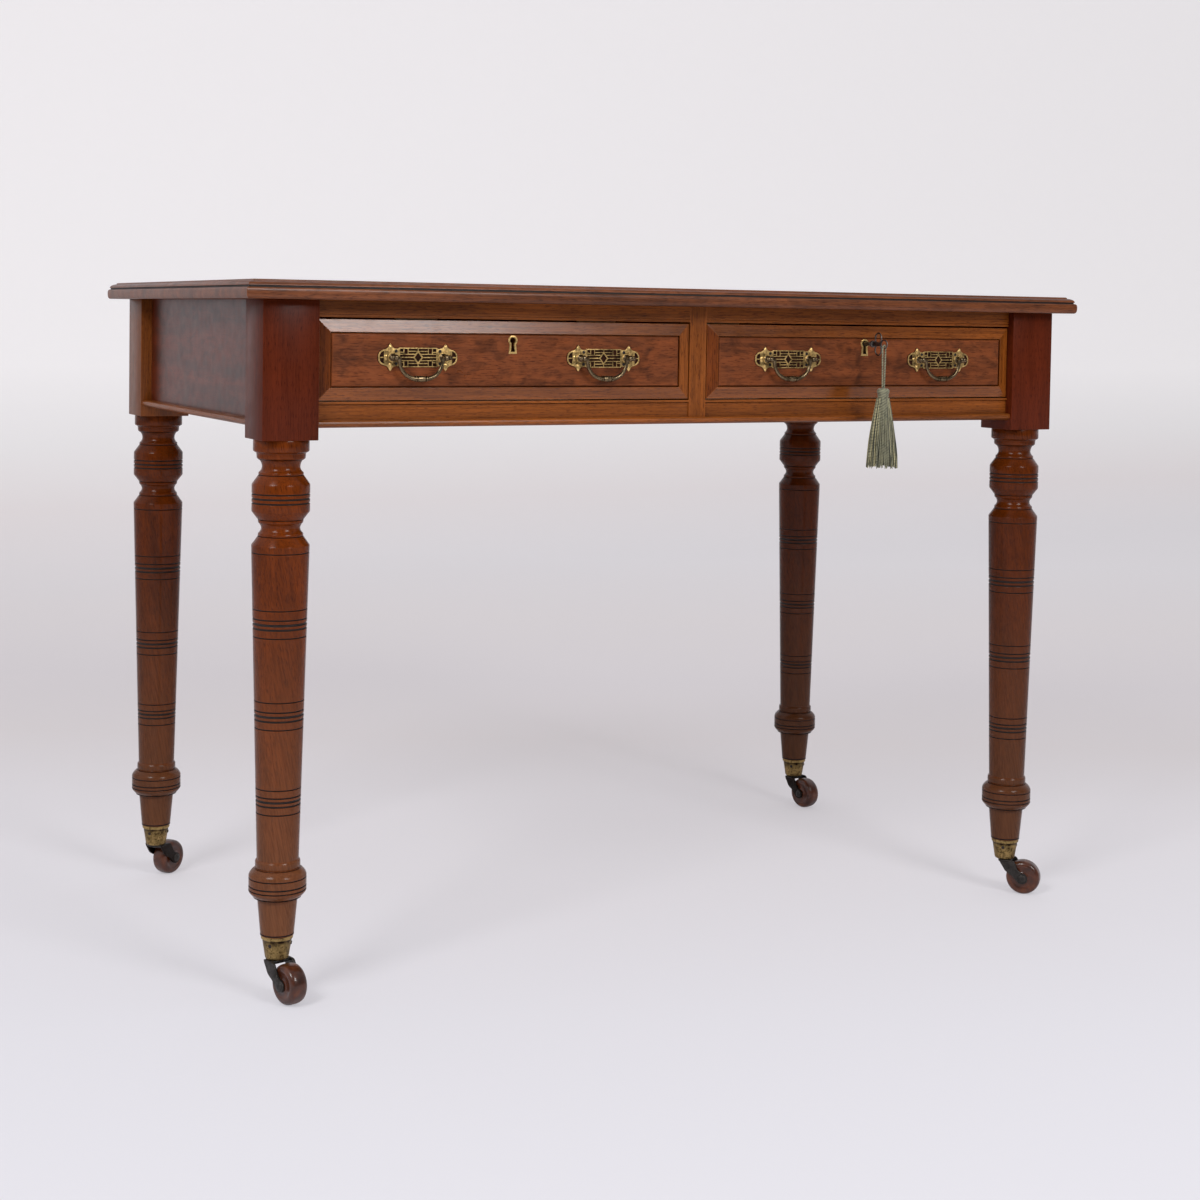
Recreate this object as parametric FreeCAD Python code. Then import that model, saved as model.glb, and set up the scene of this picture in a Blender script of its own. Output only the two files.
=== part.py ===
"""Free-standing writing desk with two drawers, four turned legs and castors.

Millimetres. X runs along the front, Y from the front to the back and Z up. The origin is on
the floor under the middle of the top.
"""
import FreeCAD, Part
import math
import os

V = FreeCAD.Vector

# Whole desk
desk_height = 750.0
top_length = 1060.0
top_depth = 590.0
top_thickness = 20.0
end_overhang = 23.0
front_overhang = 19.0
edge_inset = 10.0

# Legs: a square block on top, and turned work below it
block_width = 60.0
block_length = 144.5
drum_radius = 30.0
tenon_thickness = 8.0
tenon_length = 22.0
tenon_shoulder = 12.0

# Aprons at the ends and the back, with a moulded strip along the foot of each end
apron_height = 132.0
apron_thickness = 20.0
apron_inset = 13.2
moulding_height = 7.5
end_moulding_reach = 11.7
front_moulding_reach = 9.0

# Front rails and the muntin that laps over them
rail_inset = 10.0
rail_depth = 60.0
top_rail_height = 17.5
bottom_rail_height = 26.5
band_sink = 2.0
rail_shoulder = 2.5
bead_height = 2.5
quirk_width = 1.0
quirk_depth = 1.2
muntin_width = 21.5
muntin_depth = 22.0
muntin_lap = 10.0
muntin_offset = 6.0

# Runners, guides and kickers that the drawers slide between
runner_thickness = 20.0
runner_reach = 17.0
guide_height = 20.0
centre_runner_width = 80.0
centre_kicker_width = 50.0
stop_width = 30.0
stop_depth = 14.0
stop_height = 5.5
block_glue_leg = 22.0
block_glue_length = 60.0
glue_block_shares = [0.3, 0.75]

# Drawers
drawer_side_gap = 1.2
drawer_top_gap = 2.0
drawer_bottom_gap = 1.5
running_gap = 0.3
core_setback = 4.0
core_thickness = 19.0
drawer_back_room = 26.8
drawer_side_thickness = 9.0
drawer_side_drop = 1.0
drawer_back_drop = 6.0
drawer_bottom_thickness = 5.5
drawer_bottom_rise = 9.0
groove_depth = 4.0
bevel_width = 13.3
bevel_edge_thickness = 3.3
bevel_inner_thickness = 6.6
panel_thickness = 6.5
panel_quirk = 1.0
panel_round = 1.4
dovetail_lap = 5.0
dovetail_count = 3
tail_wide_share = 0.34
tail_narrow_share = 0.26

# Lock, keyhole and key
lock_drop = 20.5
plate_width = 70.0
plate_height = 46.5
plate_thickness = 2.0
case_width = 56.0
case_height = 42.5
case_depth = 9.0
case_wall = 1.5
selvage_depth = 13.0
bolt_width = 30.0
bolt_thickness = 5.0
bolt_height = 40.5
bolt_travel = 8.0
bolt_clearance = 0.4
pocket_clearance = 0.5
pocket_extra_depth = 1.0
eye_radius = 4.2
keyhole_neck = 4.8
keyhole_foot = 7.2
keyhole_depth = 13.0
escutcheon_wall = 1.4
escutcheon_depth = 3.0
escutcheon_proud = 0.4
drill_pin_radius = 1.2
running_fit = 0.08
shank_radius = 2.6
shank_reach = 20.8
shank_tip_gap = 0.6
bore_extra = 3.0
collar_radius = 4.0
collar_length = 3.0
collar_reach = 15.5
bit_reach = 8.0
bit_thickness = 2.2
bit_sweep_gap = 0.8
bow_thickness = 1.8
lobe_radius = 7.2
lobe_hole_radius = 4.8
lobe_pitch = 6.8

# Drop handles: a pierced back plate, two posts and a swinging bail
handle_rise = 45.2
back_plate_length = 90.0
back_plate_height = 29.0
back_plate_thickness = 1.8
fret_length = 44.0
fret_height = 20.6
fret_bar = 1.4
lozenge_width = 7.6
lozenge_height = 9.2
post_spacing = 57.0
post_reach = 10.0
post_radius = 2.3
post_foot_radius = 4.2
post_foot_thickness = 1.4
eye_width = 4.0
eye_outer_radius = 3.3
bail_drop = 22.3
bail_top_half = 24.6
bail_foot_half = 20.0
bail_corner_radius = 13.0
bail_corner_steps = 3
bail_rod_radius = 1.9
bail_pin_radius = 1.5
bail_knob_radius = 2.7
bail_knob_length = 4.4
bail_collar_radius = 2.8
bail_collar_length = 10.0
nut_width = 8.0
nut_thickness = 3.5

# Castors
wheel_radius = 21.0
wheel_thickness = 20.0
wheel_round = 5.0
wheel_headroom = 1.0
wheel_side_gap = 0.6
trail = 24.0
axle_radius = 3.0
axle_head_radius = 5.0
axle_head_length = 1.4
arm_thickness = 3.0
arm_boss_radius = 6.8
crown_thickness = 3.4
crown_back = 9.0
crown_front = 10.0
cup_height = 25.0
cup_top_radius = 16.2
cup_bottom_radius = 12.2
cup_wall = 1.8
cup_floor = 3.0
cup_lip_height = 5.0
cup_lip_reach = 0.5
pintle_radius = 3.5
pintle_head_radius = 5.6
pintle_head_length = 2.5
pintle_room = 7.0

# Tassel on the key: a doubled cord looped through the bow, a head and a skirt of threads
cord_radius = 1.0
cord_slack = 0.12
cord_drop = 51.5
tassel_head_radius = 7.4
tassel_head_height = 14.4
tassel_neck_radius = 6.2
tassel_top_radius = 8.0
tassel_foot_radius = 18.2
tassel_skirt_length = 79.0

# Flat facets that stand for a round: how many go round each kind of piece
turned_sides = 16
wheel_sides = 20
key_sides = 8
bail_sides = 6
small_sides = 6
cord_sides = 6
tassel_sides = 10
plate_arc_steps = 3

# Where each castor trails, in degrees from X, as they happen to stand
castor_trail_degrees = {
    "front_left": -74,
    "front_right": -47,
    "back_left": 35,
    "back_right": -78,
}

# Overrun of cutting tools past the face that they cut
overrun = 5.0

# Moulded edge of the top: shares of the inset from the nose, and of the thickness from above
top_edge_shares = [
    (1.0, 0.0),
    (0.92, 0.075),
    (0.50, 0.15),
    (0.18, 0.32),
    (0.06, 0.36),
    (0.0, 0.60),
    (0.03, 0.86),
    (0.18, 1.0),
]

# Strip mouldings: shares of the reach and of the height, from the top of the face outwards
moulding_shares = [
    (0.0, 1.0),
    (0.72, 1.0),
    (0.93, 0.82),
    (1.0, 0.55),
    (0.93, 0.28),
    (0.72, 0.1),
    (0.6, 0.0),
    (0.0, 0.0),
]

# Turned work from the block down: shares of the turned length and of the drum radius
turning_shares = [
    (0.0, 0.967),
    (0.0251, 0.967),
    (0.0261, 0.85),
    (0.0396, 0.85),
    (0.0441, 0.733),
    (0.0541, 0.658),
    (0.0686, 0.767),
    (0.0889, 1.0),
    (0.144, 1.0),
    (0.1633, 0.767),
    (0.1768, 0.665),
    (0.1903, 0.767),
    (0.2116, 1.0),
    (0.8464, 0.727),
    (0.8464, 0.783),
    (0.8628, 0.783),
    (0.8734, 1.0),
    (0.9111, 1.0),
    (0.9246, 0.80),
    (0.9246, 0.697),
    (1.0, 0.583),
]

# Back plate outline for one quarter: shares of half the length and half the height.
# A third and a fourth share give the middle of an arc that ends at the point.
plate_outline_shares = [
    (0.0, 0.71),
    (0.52, 0.71),
    (0.69, 1.0, 0.63, 0.80),
    (0.83, 0.60),
    (1.0, 0.0, 0.965, 0.40),
]
# Windows of the fret for one quarter: shares of half its length, then of half its height
fret_window_shares = [
    (0.62, 0.93, 0.36, 0.84),
    (0.08, 0.50, 0.58, 0.84),
    (0.26, 0.93, 0.10, 0.24),
]
# Opening in the round lobe at each end, for one quarter: shares of half length and height
lobe_window_shares = [(0.85, 0.10), (0.94, 0.10), (0.91, 0.34), (0.85, 0.50)]

# Fork arm seen from the side: shares of the trail and of the cup's height above the floor
arm_shares = [
    (0.42, 0.993),
    (0.80, 0.93),
    (1.12, 0.74),
    (1.22, 0.54),
    (1.0, 0.36),
    (0.78, 0.42),
    (0.52, 0.62),
    (0.16, 0.78),
    (-0.37, 0.86),
    (-0.37, 0.993),
]

# Places worked out from the sizes above
underside = desk_height - top_thickness
post_x = top_length / 2 - end_overhang
post_y = top_depth / 2 - front_overhang
leg_x = post_x - block_width / 2
leg_y = post_y - block_width / 2
inner_x = post_x - block_width
inner_y = post_y - block_width
block_bottom = underside - block_length
cup_bottom = 2 * wheel_radius + wheel_headroom
cup_top = cup_bottom + cup_height
turned_length = block_bottom - cup_top
apron_bottom = underside - apron_height
apron_face_x = post_x - apron_inset
apron_back_x = apron_face_x - apron_thickness
apron_face_y = post_y - apron_inset
apron_back_y = apron_face_y - apron_thickness
rail_face = -post_y + rail_inset
rail_back = rail_face + rail_depth
opening_bottom = apron_bottom + bottom_rail_height
opening_top = underside - top_rail_height
muntin_left = muntin_offset - muntin_width / 2
muntin_right = muntin_offset + muntin_width / 2
core_face = rail_face + core_setback
core_back = core_face + core_thickness
drawer_end = apron_back_y - drawer_back_room
front_bottom = opening_bottom + drawer_bottom_gap
front_top = opening_top - drawer_top_gap
panel_face = core_face - panel_thickness
side_bottom = opening_bottom + running_gap
bottom_panel_low = side_bottom + drawer_bottom_rise
bottom_panel_top = bottom_panel_low + drawer_bottom_thickness
key_height = front_top - lock_drop
plate_front = core_back - plate_thickness
case_front = plate_front - case_depth
bolt_front = (case_front + plate_front) / 2 - bolt_thickness / 2
side_top = front_top - drawer_side_drop
back_top = front_top - drawer_back_drop
handle_height = front_bottom + handle_rise
pivot_y = panel_face - post_reach


def box(x0, x1, y0, y1, z0, z1):
    """A board between two corners."""
    return Part.makeBox(x1 - x0, y1 - y0, z1 - z0, V(x0, y0, z0))


def outline(points):
    """A closed face through points."""
    return Part.Face(Part.makePolygon(points + points[:1]))


def prism(points, along):
    """The outline through points, pushed along a vector."""
    return outline(points).extrude(along)


def group(solids):
    """Separate solids that share one node."""
    return Part.makeCompound(solids)


def mirror_x(shape, centre=0):
    return shape.mirror(V(centre, 0, 0), V(1, 0, 0))


def mirror_z(shape, centre):
    return shape.mirror(V(0, 0, centre), V(0, 0, 1))


def save(shape, node):
    shape.exportStep(os.path.join("parts", node + ".step"))


def skin(rings):
    """A solid with flat facets from ring to ring, and a flat cap at both ends."""
    loops = [rings[0], rings[-1]]
    for near, far in zip(rings, rings[1:]):
        for i in range(len(near)):
            loops.append([near[i - 1], near[i], far[i], far[i - 1]])
    shell = Part.makeShell([Part.Face(Part.makePolygon(loop + loop[:1])) for loop in loops])
    shell.sewShape()
    solid = Part.makeSolid(shell)
    if solid.Volume < 0:
        solid.reverse()
    return solid


def ring(centre, side, up, radius, sides):
    """Corners of a round, the first flat square to up, as two directions across it."""
    corners = []
    for i in range(sides):
        angle = 2 * math.pi * (i + 1 / 2) / sides
        corners.append(centre + side * (radius * math.cos(angle)) + up * (radius * math.sin(angle)))
    return corners


def over_flats(radius, sides):
    """Corner radius of the round whose flats lie a radius from its middle."""
    return radius / math.cos(math.pi / sides)


def turned(levels, sides):
    """Turned work about the Z axis through levels of (height, radius)."""
    return skin([ring(V(0, 0, z), V(1, 0, 0), V(0, 1, 0), radius, sides) for z, radius in levels])


def rod_y(x, z, start, end, radius, sides=small_sides):
    """A round rod along Y."""
    return skin([ring(V(x, y, z), V(1, 0, 0), V(0, 0, 1), radius, sides) for y in (start, end)])


def rod_x(y, z, start, end, radius, sides=small_sides):
    """A round rod along X."""
    return skin([ring(V(x, y, z), V(0, 1, 0), V(0, 0, 1), radius, sides) for x in (start, end)])


def table_top():
    """The board whose moulded edge is mitred at the corners."""
    layers = []
    for inset_share, depth_share in top_edge_shares:
        x = top_length / 2 - edge_inset * inset_share
        y = top_depth / 2 - edge_inset * inset_share
        z = desk_height - top_thickness * depth_share
        layers.append([V(-x, -y, z), V(x, -y, z), V(x, y, z), V(-x, y, z)])
    return skin(layers)


def tenon_end(sign_x, sign_y, along_x):
    """Tenon in a leg block: of the back apron along X, or of an end apron along Y."""
    low = apron_bottom + tenon_shoulder
    high = underside - tenon_shoulder
    if along_x:
        middle = apron_face_y - apron_thickness / 2
        x = sorted([sign_x * inner_x, sign_x * (inner_x + tenon_length)])
        y = sorted([sign_y * (middle - tenon_thickness / 2), sign_y * (middle + tenon_thickness / 2)])
    else:
        middle = apron_face_x - apron_thickness / 2
        x = sorted([sign_x * (middle - tenon_thickness / 2), sign_x * (middle + tenon_thickness / 2)])
        y = sorted([sign_y * inner_y, sign_y * (inner_y + tenon_length)])
    return box(x[0], x[1], y[0], y[1], low, high)


def rail_tenon(sign_x, low, high):
    """Tenon of a front rail in a front leg block."""
    x = sorted([sign_x * inner_x, sign_x * (inner_x + tenon_length)])
    middle = (rail_face - inner_y) / 2
    return box(x[0], x[1], middle - tenon_thickness, middle + tenon_thickness, low, high)


def top_rail_tenon(sign_x):
    return rail_tenon(sign_x, opening_top + rail_shoulder, underside - rail_shoulder)


def bottom_rail_tenon(sign_x):
    return rail_tenon(sign_x, apron_bottom + rail_shoulder, opening_bottom - rail_shoulder)


def cavity_levels():
    """The tapered hollow of a castor cup: height and radius at its top and its floor."""
    foot = cup_bottom + cup_floor
    slope = (cup_top_radius - cup_bottom_radius) / cup_height
    floor_radius = cup_bottom_radius + slope * cup_floor - cup_wall
    return [(cup_top, cup_top_radius - cup_wall), (foot, floor_radius)]


def leg_levels():
    """The turned work under the block, ending in the foot that fits in the castor cup."""
    levels = []
    for length_share, radius_share in turning_shares:
        levels.append((block_bottom - turned_length * length_share, drum_radius * radius_share))
    high, low = cavity_levels()
    foot_end = low[0] + pintle_room
    share = (foot_end - low[0]) / (high[0] - low[0])
    return levels + [high, (foot_end, low[1] + share * (high[1] - low[1]))]


def leg(sign_x, sign_y):
    """One leg: the mortised block and the turned work under it."""
    x = sign_x * leg_x
    y = sign_y * leg_y
    half = block_width / 2
    block = box(x - half, x + half, y - half, y + half, block_bottom, underside)
    round_part = turned(leg_levels(), turned_sides)
    round_part.translate(V(x, y, 0))
    shape = block.fuse(round_part)
    shape = shape.cut(tenon_end(sign_x, sign_y, False))
    if sign_y > 0:
        return shape.cut(tenon_end(sign_x, sign_y, True))
    return shape.cut(top_rail_tenon(sign_x)).cut(bottom_rail_tenon(sign_x))


def end_apron(sign_x):
    x = sorted([sign_x * apron_face_x, sign_x * apron_back_x])
    board = box(x[0], x[1], -inner_y, inner_y, apron_bottom, underside)
    return board.fuse(tenon_end(sign_x, -1, False)).fuse(tenon_end(sign_x, 1, False))


def back_apron():
    board = box(-inner_x, inner_x, apron_back_y, apron_face_y, apron_bottom, underside)
    return board.fuse(tenon_end(-1, 1, True)).fuse(tenon_end(1, 1, True))


def end_moulding(sign_x):
    points = []
    for out, up in moulding_shares:
        x = sign_x * (apron_face_x + end_moulding_reach * out)
        points.append(V(x, -inner_y, apron_bottom + moulding_height * up))
    return prism(points, V(0, 2 * inner_y, 0))


def front_moulding():
    points = []
    for out, up in moulding_shares:
        y = rail_face + band_sink - front_moulding_reach * out
        points.append(V(-inner_x, y, apron_bottom + moulding_height * up))
    return prism(points, V(2 * inner_x, 0, 0))


def muntin():
    """The upright between the drawers; its front laps over both rails."""
    lap = box(muntin_left, muntin_right, rail_face, rail_face + muntin_lap,
              apron_bottom + moulding_height, underside)
    body = box(muntin_left, muntin_right, rail_face + muntin_lap, rail_face + muntin_depth,
               opening_bottom, opening_top)
    return lap.fuse(body).removeSplitter()


def bolt_pocket(key_x):
    """Mortice over a drawer lock, which its bolt rises into."""
    half = bolt_width / 2 + pocket_clearance
    return box(key_x - half, key_x + half, bolt_front - pocket_clearance,
               bolt_front + bolt_thickness + pocket_clearance, opening_top - overrun,
               front_top + bolt_travel + pocket_extra_depth)


def top_rail(key_places):
    """The rail over the drawers, with a bead along its foot."""
    quirk = opening_top + bead_height
    profile = [
        (rail_back, opening_top),
        (rail_face, opening_top),
        (rail_face, quirk),
        (rail_face + quirk_depth, quirk),
        (rail_face + quirk_depth, quirk + quirk_width),
        (rail_face, quirk + quirk_width),
        (rail_face, underside),
        (rail_back, underside),
    ]
    shape = prism([V(-inner_x, y, z) for y, z in profile], V(2 * inner_x, 0, 0)).cut(muntin())
    for key_x in key_places:
        shape = shape.cut(bolt_pocket(key_x))
    return shape.fuse(top_rail_tenon(-1)).fuse(top_rail_tenon(1))


def bottom_rail():
    """The rail under the drawers: a sunk band and a bead along the top."""
    quirk = opening_bottom - bead_height
    band = rail_face + band_sink
    profile = [
        (rail_back, apron_bottom),
        (band, apron_bottom),
        (band, quirk - quirk_width),
        (band + quirk_depth, quirk - quirk_width),
        (band + quirk_depth, quirk),
        (rail_face, quirk),
        (rail_face, opening_bottom),
        (rail_back, opening_bottom),
    ]
    shape = prism([V(-inner_x, y, z) for y, z in profile], V(2 * inner_x, 0, 0)).cut(muntin())
    return shape.fuse(bottom_rail_tenon(-1)).fuse(bottom_rail_tenon(1))


def centre_runner():
    """The wide runner under both drawers, and the guide between them."""
    half = centre_runner_width / 2
    runner = box(muntin_offset - half, muntin_offset + half, rail_back, apron_back_y,
                 opening_bottom - runner_thickness, opening_bottom)
    guide = box(muntin_left, muntin_right, rail_face + muntin_depth, apron_back_y,
                opening_bottom, opening_bottom + guide_height)
    return group([runner, guide])


def side_runners():
    """At each end a runner under the drawer side, and a guide beside it."""
    solids = []
    for sign_x in (-1, 1):
        x = sorted([sign_x * apron_back_x, sign_x * (inner_x - runner_reach)])
        solids.append(box(x[0], x[1], rail_back, inner_y, opening_bottom - runner_thickness, opening_bottom))
        x = sorted([sign_x * apron_back_x, sign_x * inner_x])
        solids.append(box(x[0], x[1], -inner_y, inner_y, opening_bottom, opening_bottom + guide_height))
    return group(solids)


def kickers():
    """Strips over the drawer sides, which stop an open drawer from tipping."""
    solids = []
    for sign_x in (-1, 1):
        x = sorted([sign_x * apron_back_x, sign_x * (inner_x - runner_reach)])
        solids.append(box(x[0], x[1], rail_back, inner_y, opening_top, underside))
    half = centre_kicker_width / 2
    middle = box(muntin_offset - half, muntin_offset + half, rail_back, apron_back_y, opening_top, underside)
    return group(solids + [middle])


def drawer_stops(drawers):
    """Small blocks on the bottom rail that the drawer fronts close against."""
    solids = []
    for drawer in drawers:
        for x in drawer.handles:
            solids.append(box(x - stop_width / 2, x + stop_width / 2, core_back + running_gap,
                              core_back + running_gap + stop_depth, opening_bottom,
                              opening_bottom + stop_height))
    return group(solids)


def glue_blocks():
    """Rubbed blocks in the corner between the back apron and the top."""
    solids = []
    for side in (-1, 1):
        for place in glue_block_shares:
            x = side * inner_x * place
            profile = [(0, 0), (-block_glue_leg, 0), (0, -block_glue_leg)]
            points = [V(x - block_glue_length / 2, apron_back_y + y, underside + z) for y, z in profile]
            solids.append(prism(points, V(block_glue_length, 0, 0)))
    return group(solids)


def keyhole(key_x, border, front, back):
    """A round eye over a flared slot, border wider all round, cut from front to back."""
    eye = rod_y(key_x, key_height, front, back, eye_radius + border)
    foot = key_height - keyhole_depth - border
    half_neck = keyhole_neck / 2 + border
    half_foot = keyhole_foot / 2 + border
    slot = [
        V(key_x - half_neck, front, key_height),
        V(key_x + half_neck, front, key_height),
        V(key_x + half_foot, front, foot),
        V(key_x - half_foot, front, foot),
    ]
    return eye.fuse(prism(slot, V(0, back - front, 0))).removeSplitter()


def dovetails(x0, x1, wide_y, narrow_y, low, high):
    """Tails across a board from x0 to x1, wide at wide_y and narrow at narrow_y."""
    pitch = (high - low) / dovetail_count
    solids = []
    for i in range(dovetail_count):
        middle = low + pitch * (i + 1 / 2)
        wide = pitch * tail_wide_share
        narrow = pitch * tail_narrow_share
        points = [
            V(x0, wide_y, middle - wide),
            V(x0, wide_y, middle + wide),
            V(x0, narrow_y, middle + narrow),
            V(x0, narrow_y, middle - narrow),
        ]
        solids.append(prism(points, V(x1 - x0, 0, 0)))
    return solids


class Drawer:
    """One drawer between two places along the front, and all that it carries."""

    def __init__(self, name, opening_left, opening_right):
        self.name = name
        self.left = opening_left + drawer_side_gap
        self.right = opening_right - drawer_side_gap
        self.key_x = (self.left + self.right) / 2
        place = (self.right - self.left) / 4
        self.handles = [self.key_x - place, self.key_x + place]
        self.panel_left = self.left + bevel_width + panel_quirk
        self.panel_right = self.right - bevel_width - panel_quirk
        self.panel_low = front_bottom + bevel_width + panel_quirk
        self.panel_high = front_top - bevel_width - panel_quirk

    def bottom(self):
        inset = drawer_side_thickness - groove_depth
        return box(self.left + inset, self.right - inset, core_back - groove_depth, drawer_end,
                   bottom_panel_low, bottom_panel_top)

    def side_tails(self, x0, x1):
        front = dovetails(x0, x1, core_face + dovetail_lap, core_back, bottom_panel_top, side_top)
        back = dovetails(x0, x1, drawer_end, drawer_end - drawer_side_thickness, bottom_panel_top, back_top)
        return front + back

    def side(self, x0, x1):
        board = box(x0, x1, core_back, drawer_end - drawer_side_thickness, side_bottom, side_top)
        return board.multiFuse(self.side_tails(x0, x1)).cut(self.bottom())

    def side_places(self):
        return [
            (self.left, self.left + drawer_side_thickness),
            (self.right - drawer_side_thickness, self.right),
        ]

    def all_tails(self):
        return [tail for x0, x1 in self.side_places() for tail in self.side_tails(x0, x1)]

    def sides(self):
        return group([self.side(x0, x1) for x0, x1 in self.side_places()])

    def back(self):
        board = box(self.left, self.right, drawer_end - drawer_side_thickness, drawer_end,
                    bottom_panel_top, back_top)
        return board.cut(self.all_tails())

    def lock_part(self, width, front, back, low):
        return box(self.key_x - width / 2, self.key_x + width / 2, front, back, low, front_top)

    def lock_recess(self):
        """Room in the back of the front for the lock's case, plate and selvage."""
        case = self.lock_part(case_width, case_front, plate_front, front_top - case_height)
        plate = self.lock_part(plate_width, plate_front, core_back, front_top - plate_height)
        selvage_low = front_top - plate_thickness
        selvage = self.lock_part(plate_width, core_back - selvage_depth, core_back, selvage_low)
        return case.fuse(plate).fuse(selvage)

    def post_places(self):
        return [x + sign * post_spacing / 2 for x in self.handles for sign in (-1, 1)]

    def post_holes(self, front, back):
        return [rod_y(x, handle_height, front, back, post_radius) for x in self.post_places()]

    def front(self):
        """The core of the front, with sockets for the side tails, the lock and the posts."""
        board = box(self.left, self.right, core_face, core_back, front_bottom, front_top)
        board = board.cut(self.all_tails() + [self.bottom(), self.lock_recess()])
        board = board.cut(keyhole(self.key_x, 0, core_face - overrun, core_back))
        return board.cut(self.post_holes(core_face - overrun, core_back + overrun))

    def bevel(self):
        """Four mitred strips that rise from the edge of the front to the panel."""
        low_left = V(self.left, 0, front_bottom)
        low_right = V(self.right, 0, front_bottom)
        high_left = V(self.left, 0, front_top)
        high_right = V(self.right, 0, front_top)
        up = V(0, 0, 1)
        across = V(1, 0, 0)
        return group([
            bevel_strip(low_left, low_right, up),
            bevel_strip(high_right, high_left, -up),
            bevel_strip(high_left, low_left, across),
            bevel_strip(low_right, high_right, -across),
        ])

    def panel(self):
        """The raised panel, its edges eased, with the keyhole and holes for the posts."""
        layers = []
        for inset, y in ((0, core_face), (0, panel_face + panel_round), (panel_round, panel_face)):
            layers.append([
                V(self.panel_left + inset, y, self.panel_low + inset),
                V(self.panel_right - inset, y, self.panel_low + inset),
                V(self.panel_right - inset, y, self.panel_high - inset),
                V(self.panel_left + inset, y, self.panel_high - inset),
            ])
        board = skin(layers)
        seat = panel_face + escutcheon_depth
        board = board.cut(keyhole(self.key_x, escutcheon_wall, panel_face - overrun, seat))
        board = board.cut(keyhole(self.key_x, 0, seat - overrun, core_face + overrun))
        return board.cut(self.post_holes(panel_face - overrun, core_face + overrun))

    def escutcheon(self):
        """The thin brass lining that stands a hair proud round the keyhole."""
        front = panel_face - escutcheon_proud
        back = panel_face + escutcheon_depth
        lining = keyhole(self.key_x, escutcheon_wall, front, back)
        return lining.cut(keyhole(self.key_x, 0, front - overrun, back + overrun))

    def lock_case(self):
        """Plate, case and selvage in one, with the pin that the key turns on."""
        low = front_top - case_height + case_wall
        room = box(self.key_x - case_width / 2 + case_wall, self.key_x + case_width / 2 - case_wall,
                   case_front + case_wall, plate_front, low, front_top - plate_thickness)
        half = bolt_width / 2 + bolt_clearance
        slot = box(self.key_x - half, self.key_x + half, bolt_front - bolt_clearance,
                   bolt_front + bolt_thickness + bolt_clearance, low, front_top + overrun)
        shape = self.lock_recess().cut([room, slot])
        shape = shape.cut(keyhole(self.key_x, 0, case_front - overrun, case_front + case_wall))
        return shape.fuse(rod_y(self.key_x, key_height, case_front, plate_front, drill_pin_radius))

    def bolt(self):
        """The flat bolt, with a window that leaves room for the turning bit."""
        plate = box(self.key_x - bolt_width / 2, self.key_x + bolt_width / 2, bolt_front,
                    bolt_front + bolt_thickness, front_top - bolt_height, front_top)
        sweep = bit_reach + bit_sweep_gap
        window = box(self.key_x - sweep, self.key_x + sweep, bolt_front - overrun,
                     bolt_front + bolt_thickness + overrun, key_height - sweep - bolt_travel,
                     key_height + sweep)
        return plate.cut(window)

    def handle_plates(self):
        return group([back_plate(x) for x in self.handles])

    def handle_posts(self):
        return group([piece(x) for x in self.post_places() for piece in (post, post_nut)])


def bevel_strip(start, end, inwards):
    """A strip along one edge of a drawer front: its section is mitred at both ends."""
    along = (end - start).normalize()
    sections = []
    for corner, way in ((start, 1), (end, -1)):
        inner = corner + (along * way + inwards) * bevel_width
        sections.append([
            V(corner.x, core_face, corner.z),
            V(corner.x, core_face - bevel_edge_thickness, corner.z),
            V(inner.x, core_face - bevel_inner_thickness, inner.z),
            V(inner.x, core_face, inner.z),
        ])
    return skin(sections)


def shape_points(shares, half_x, half_z, centre_x, y):
    """Points of one quarter of a back plate from shares; four shares make an arc."""
    points = []
    for row in shares:
        spots = []
        for i in range(0, len(row), 2):
            spots.append(V(centre_x + half_x * row[i], y, handle_height + half_z * row[i + 1]))
        if len(spots) > 1:
            points += Part.Arc(points[-1], spots[1], spots[0]).discretize(plate_arc_steps + 1)[1:]
        else:
            points += spots
    return points


def four_ways(shape, centre_x):
    """A quarter shape and its three mirror images about a handle's middle."""
    right = [shape, mirror_z(shape, handle_height)]
    return right + [mirror_x(piece, centre_x) for piece in right]


def back_plate(centre_x):
    """The cast plate behind a bail: leaf tips, round lobes and a pierced fret between them."""
    half_x = back_plate_length / 2
    half_z = back_plate_height / 2
    quarter = [V(centre_x, panel_face, handle_height)]
    quarter += shape_points(plate_outline_shares, half_x, half_z, centre_x, panel_face)
    pieces = four_ways(prism(quarter, V(0, -back_plate_thickness, 0)), centre_x)
    plate = pieces[0].multiFuse(pieces[1:]).removeSplitter()
    face = panel_face + overrun
    through = V(0, -back_plate_thickness - 2 * overrun, 0)
    windows = []
    for x0, x1, z0, z1 in fret_window_shares:
        shares = [(x0, z0), (x1, z0), (x1, z1), (x0, z1)]
        points = shape_points(shares, fret_length / 2, fret_height / 2, centre_x, face)
        windows += four_ways(prism(points, through), centre_x)
    points = shape_points(lobe_window_shares, half_x, half_z, centre_x, face)
    windows += four_ways(prism(points, through), centre_x)
    diamond = [
        V(centre_x - lozenge_width / 2, face, handle_height),
        V(centre_x, face, handle_height - lozenge_height / 2),
        V(centre_x + lozenge_width / 2, face, handle_height),
        V(centre_x, face, handle_height + lozenge_height / 2),
    ]
    windows.append(prism(diamond, through))
    for sign in (-1, 1):
        x = centre_x + sign * post_spacing / 2
        windows.append(rod_y(x, handle_height, face, face + through.y, post_radius))
    return plate.cut(windows)


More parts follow.
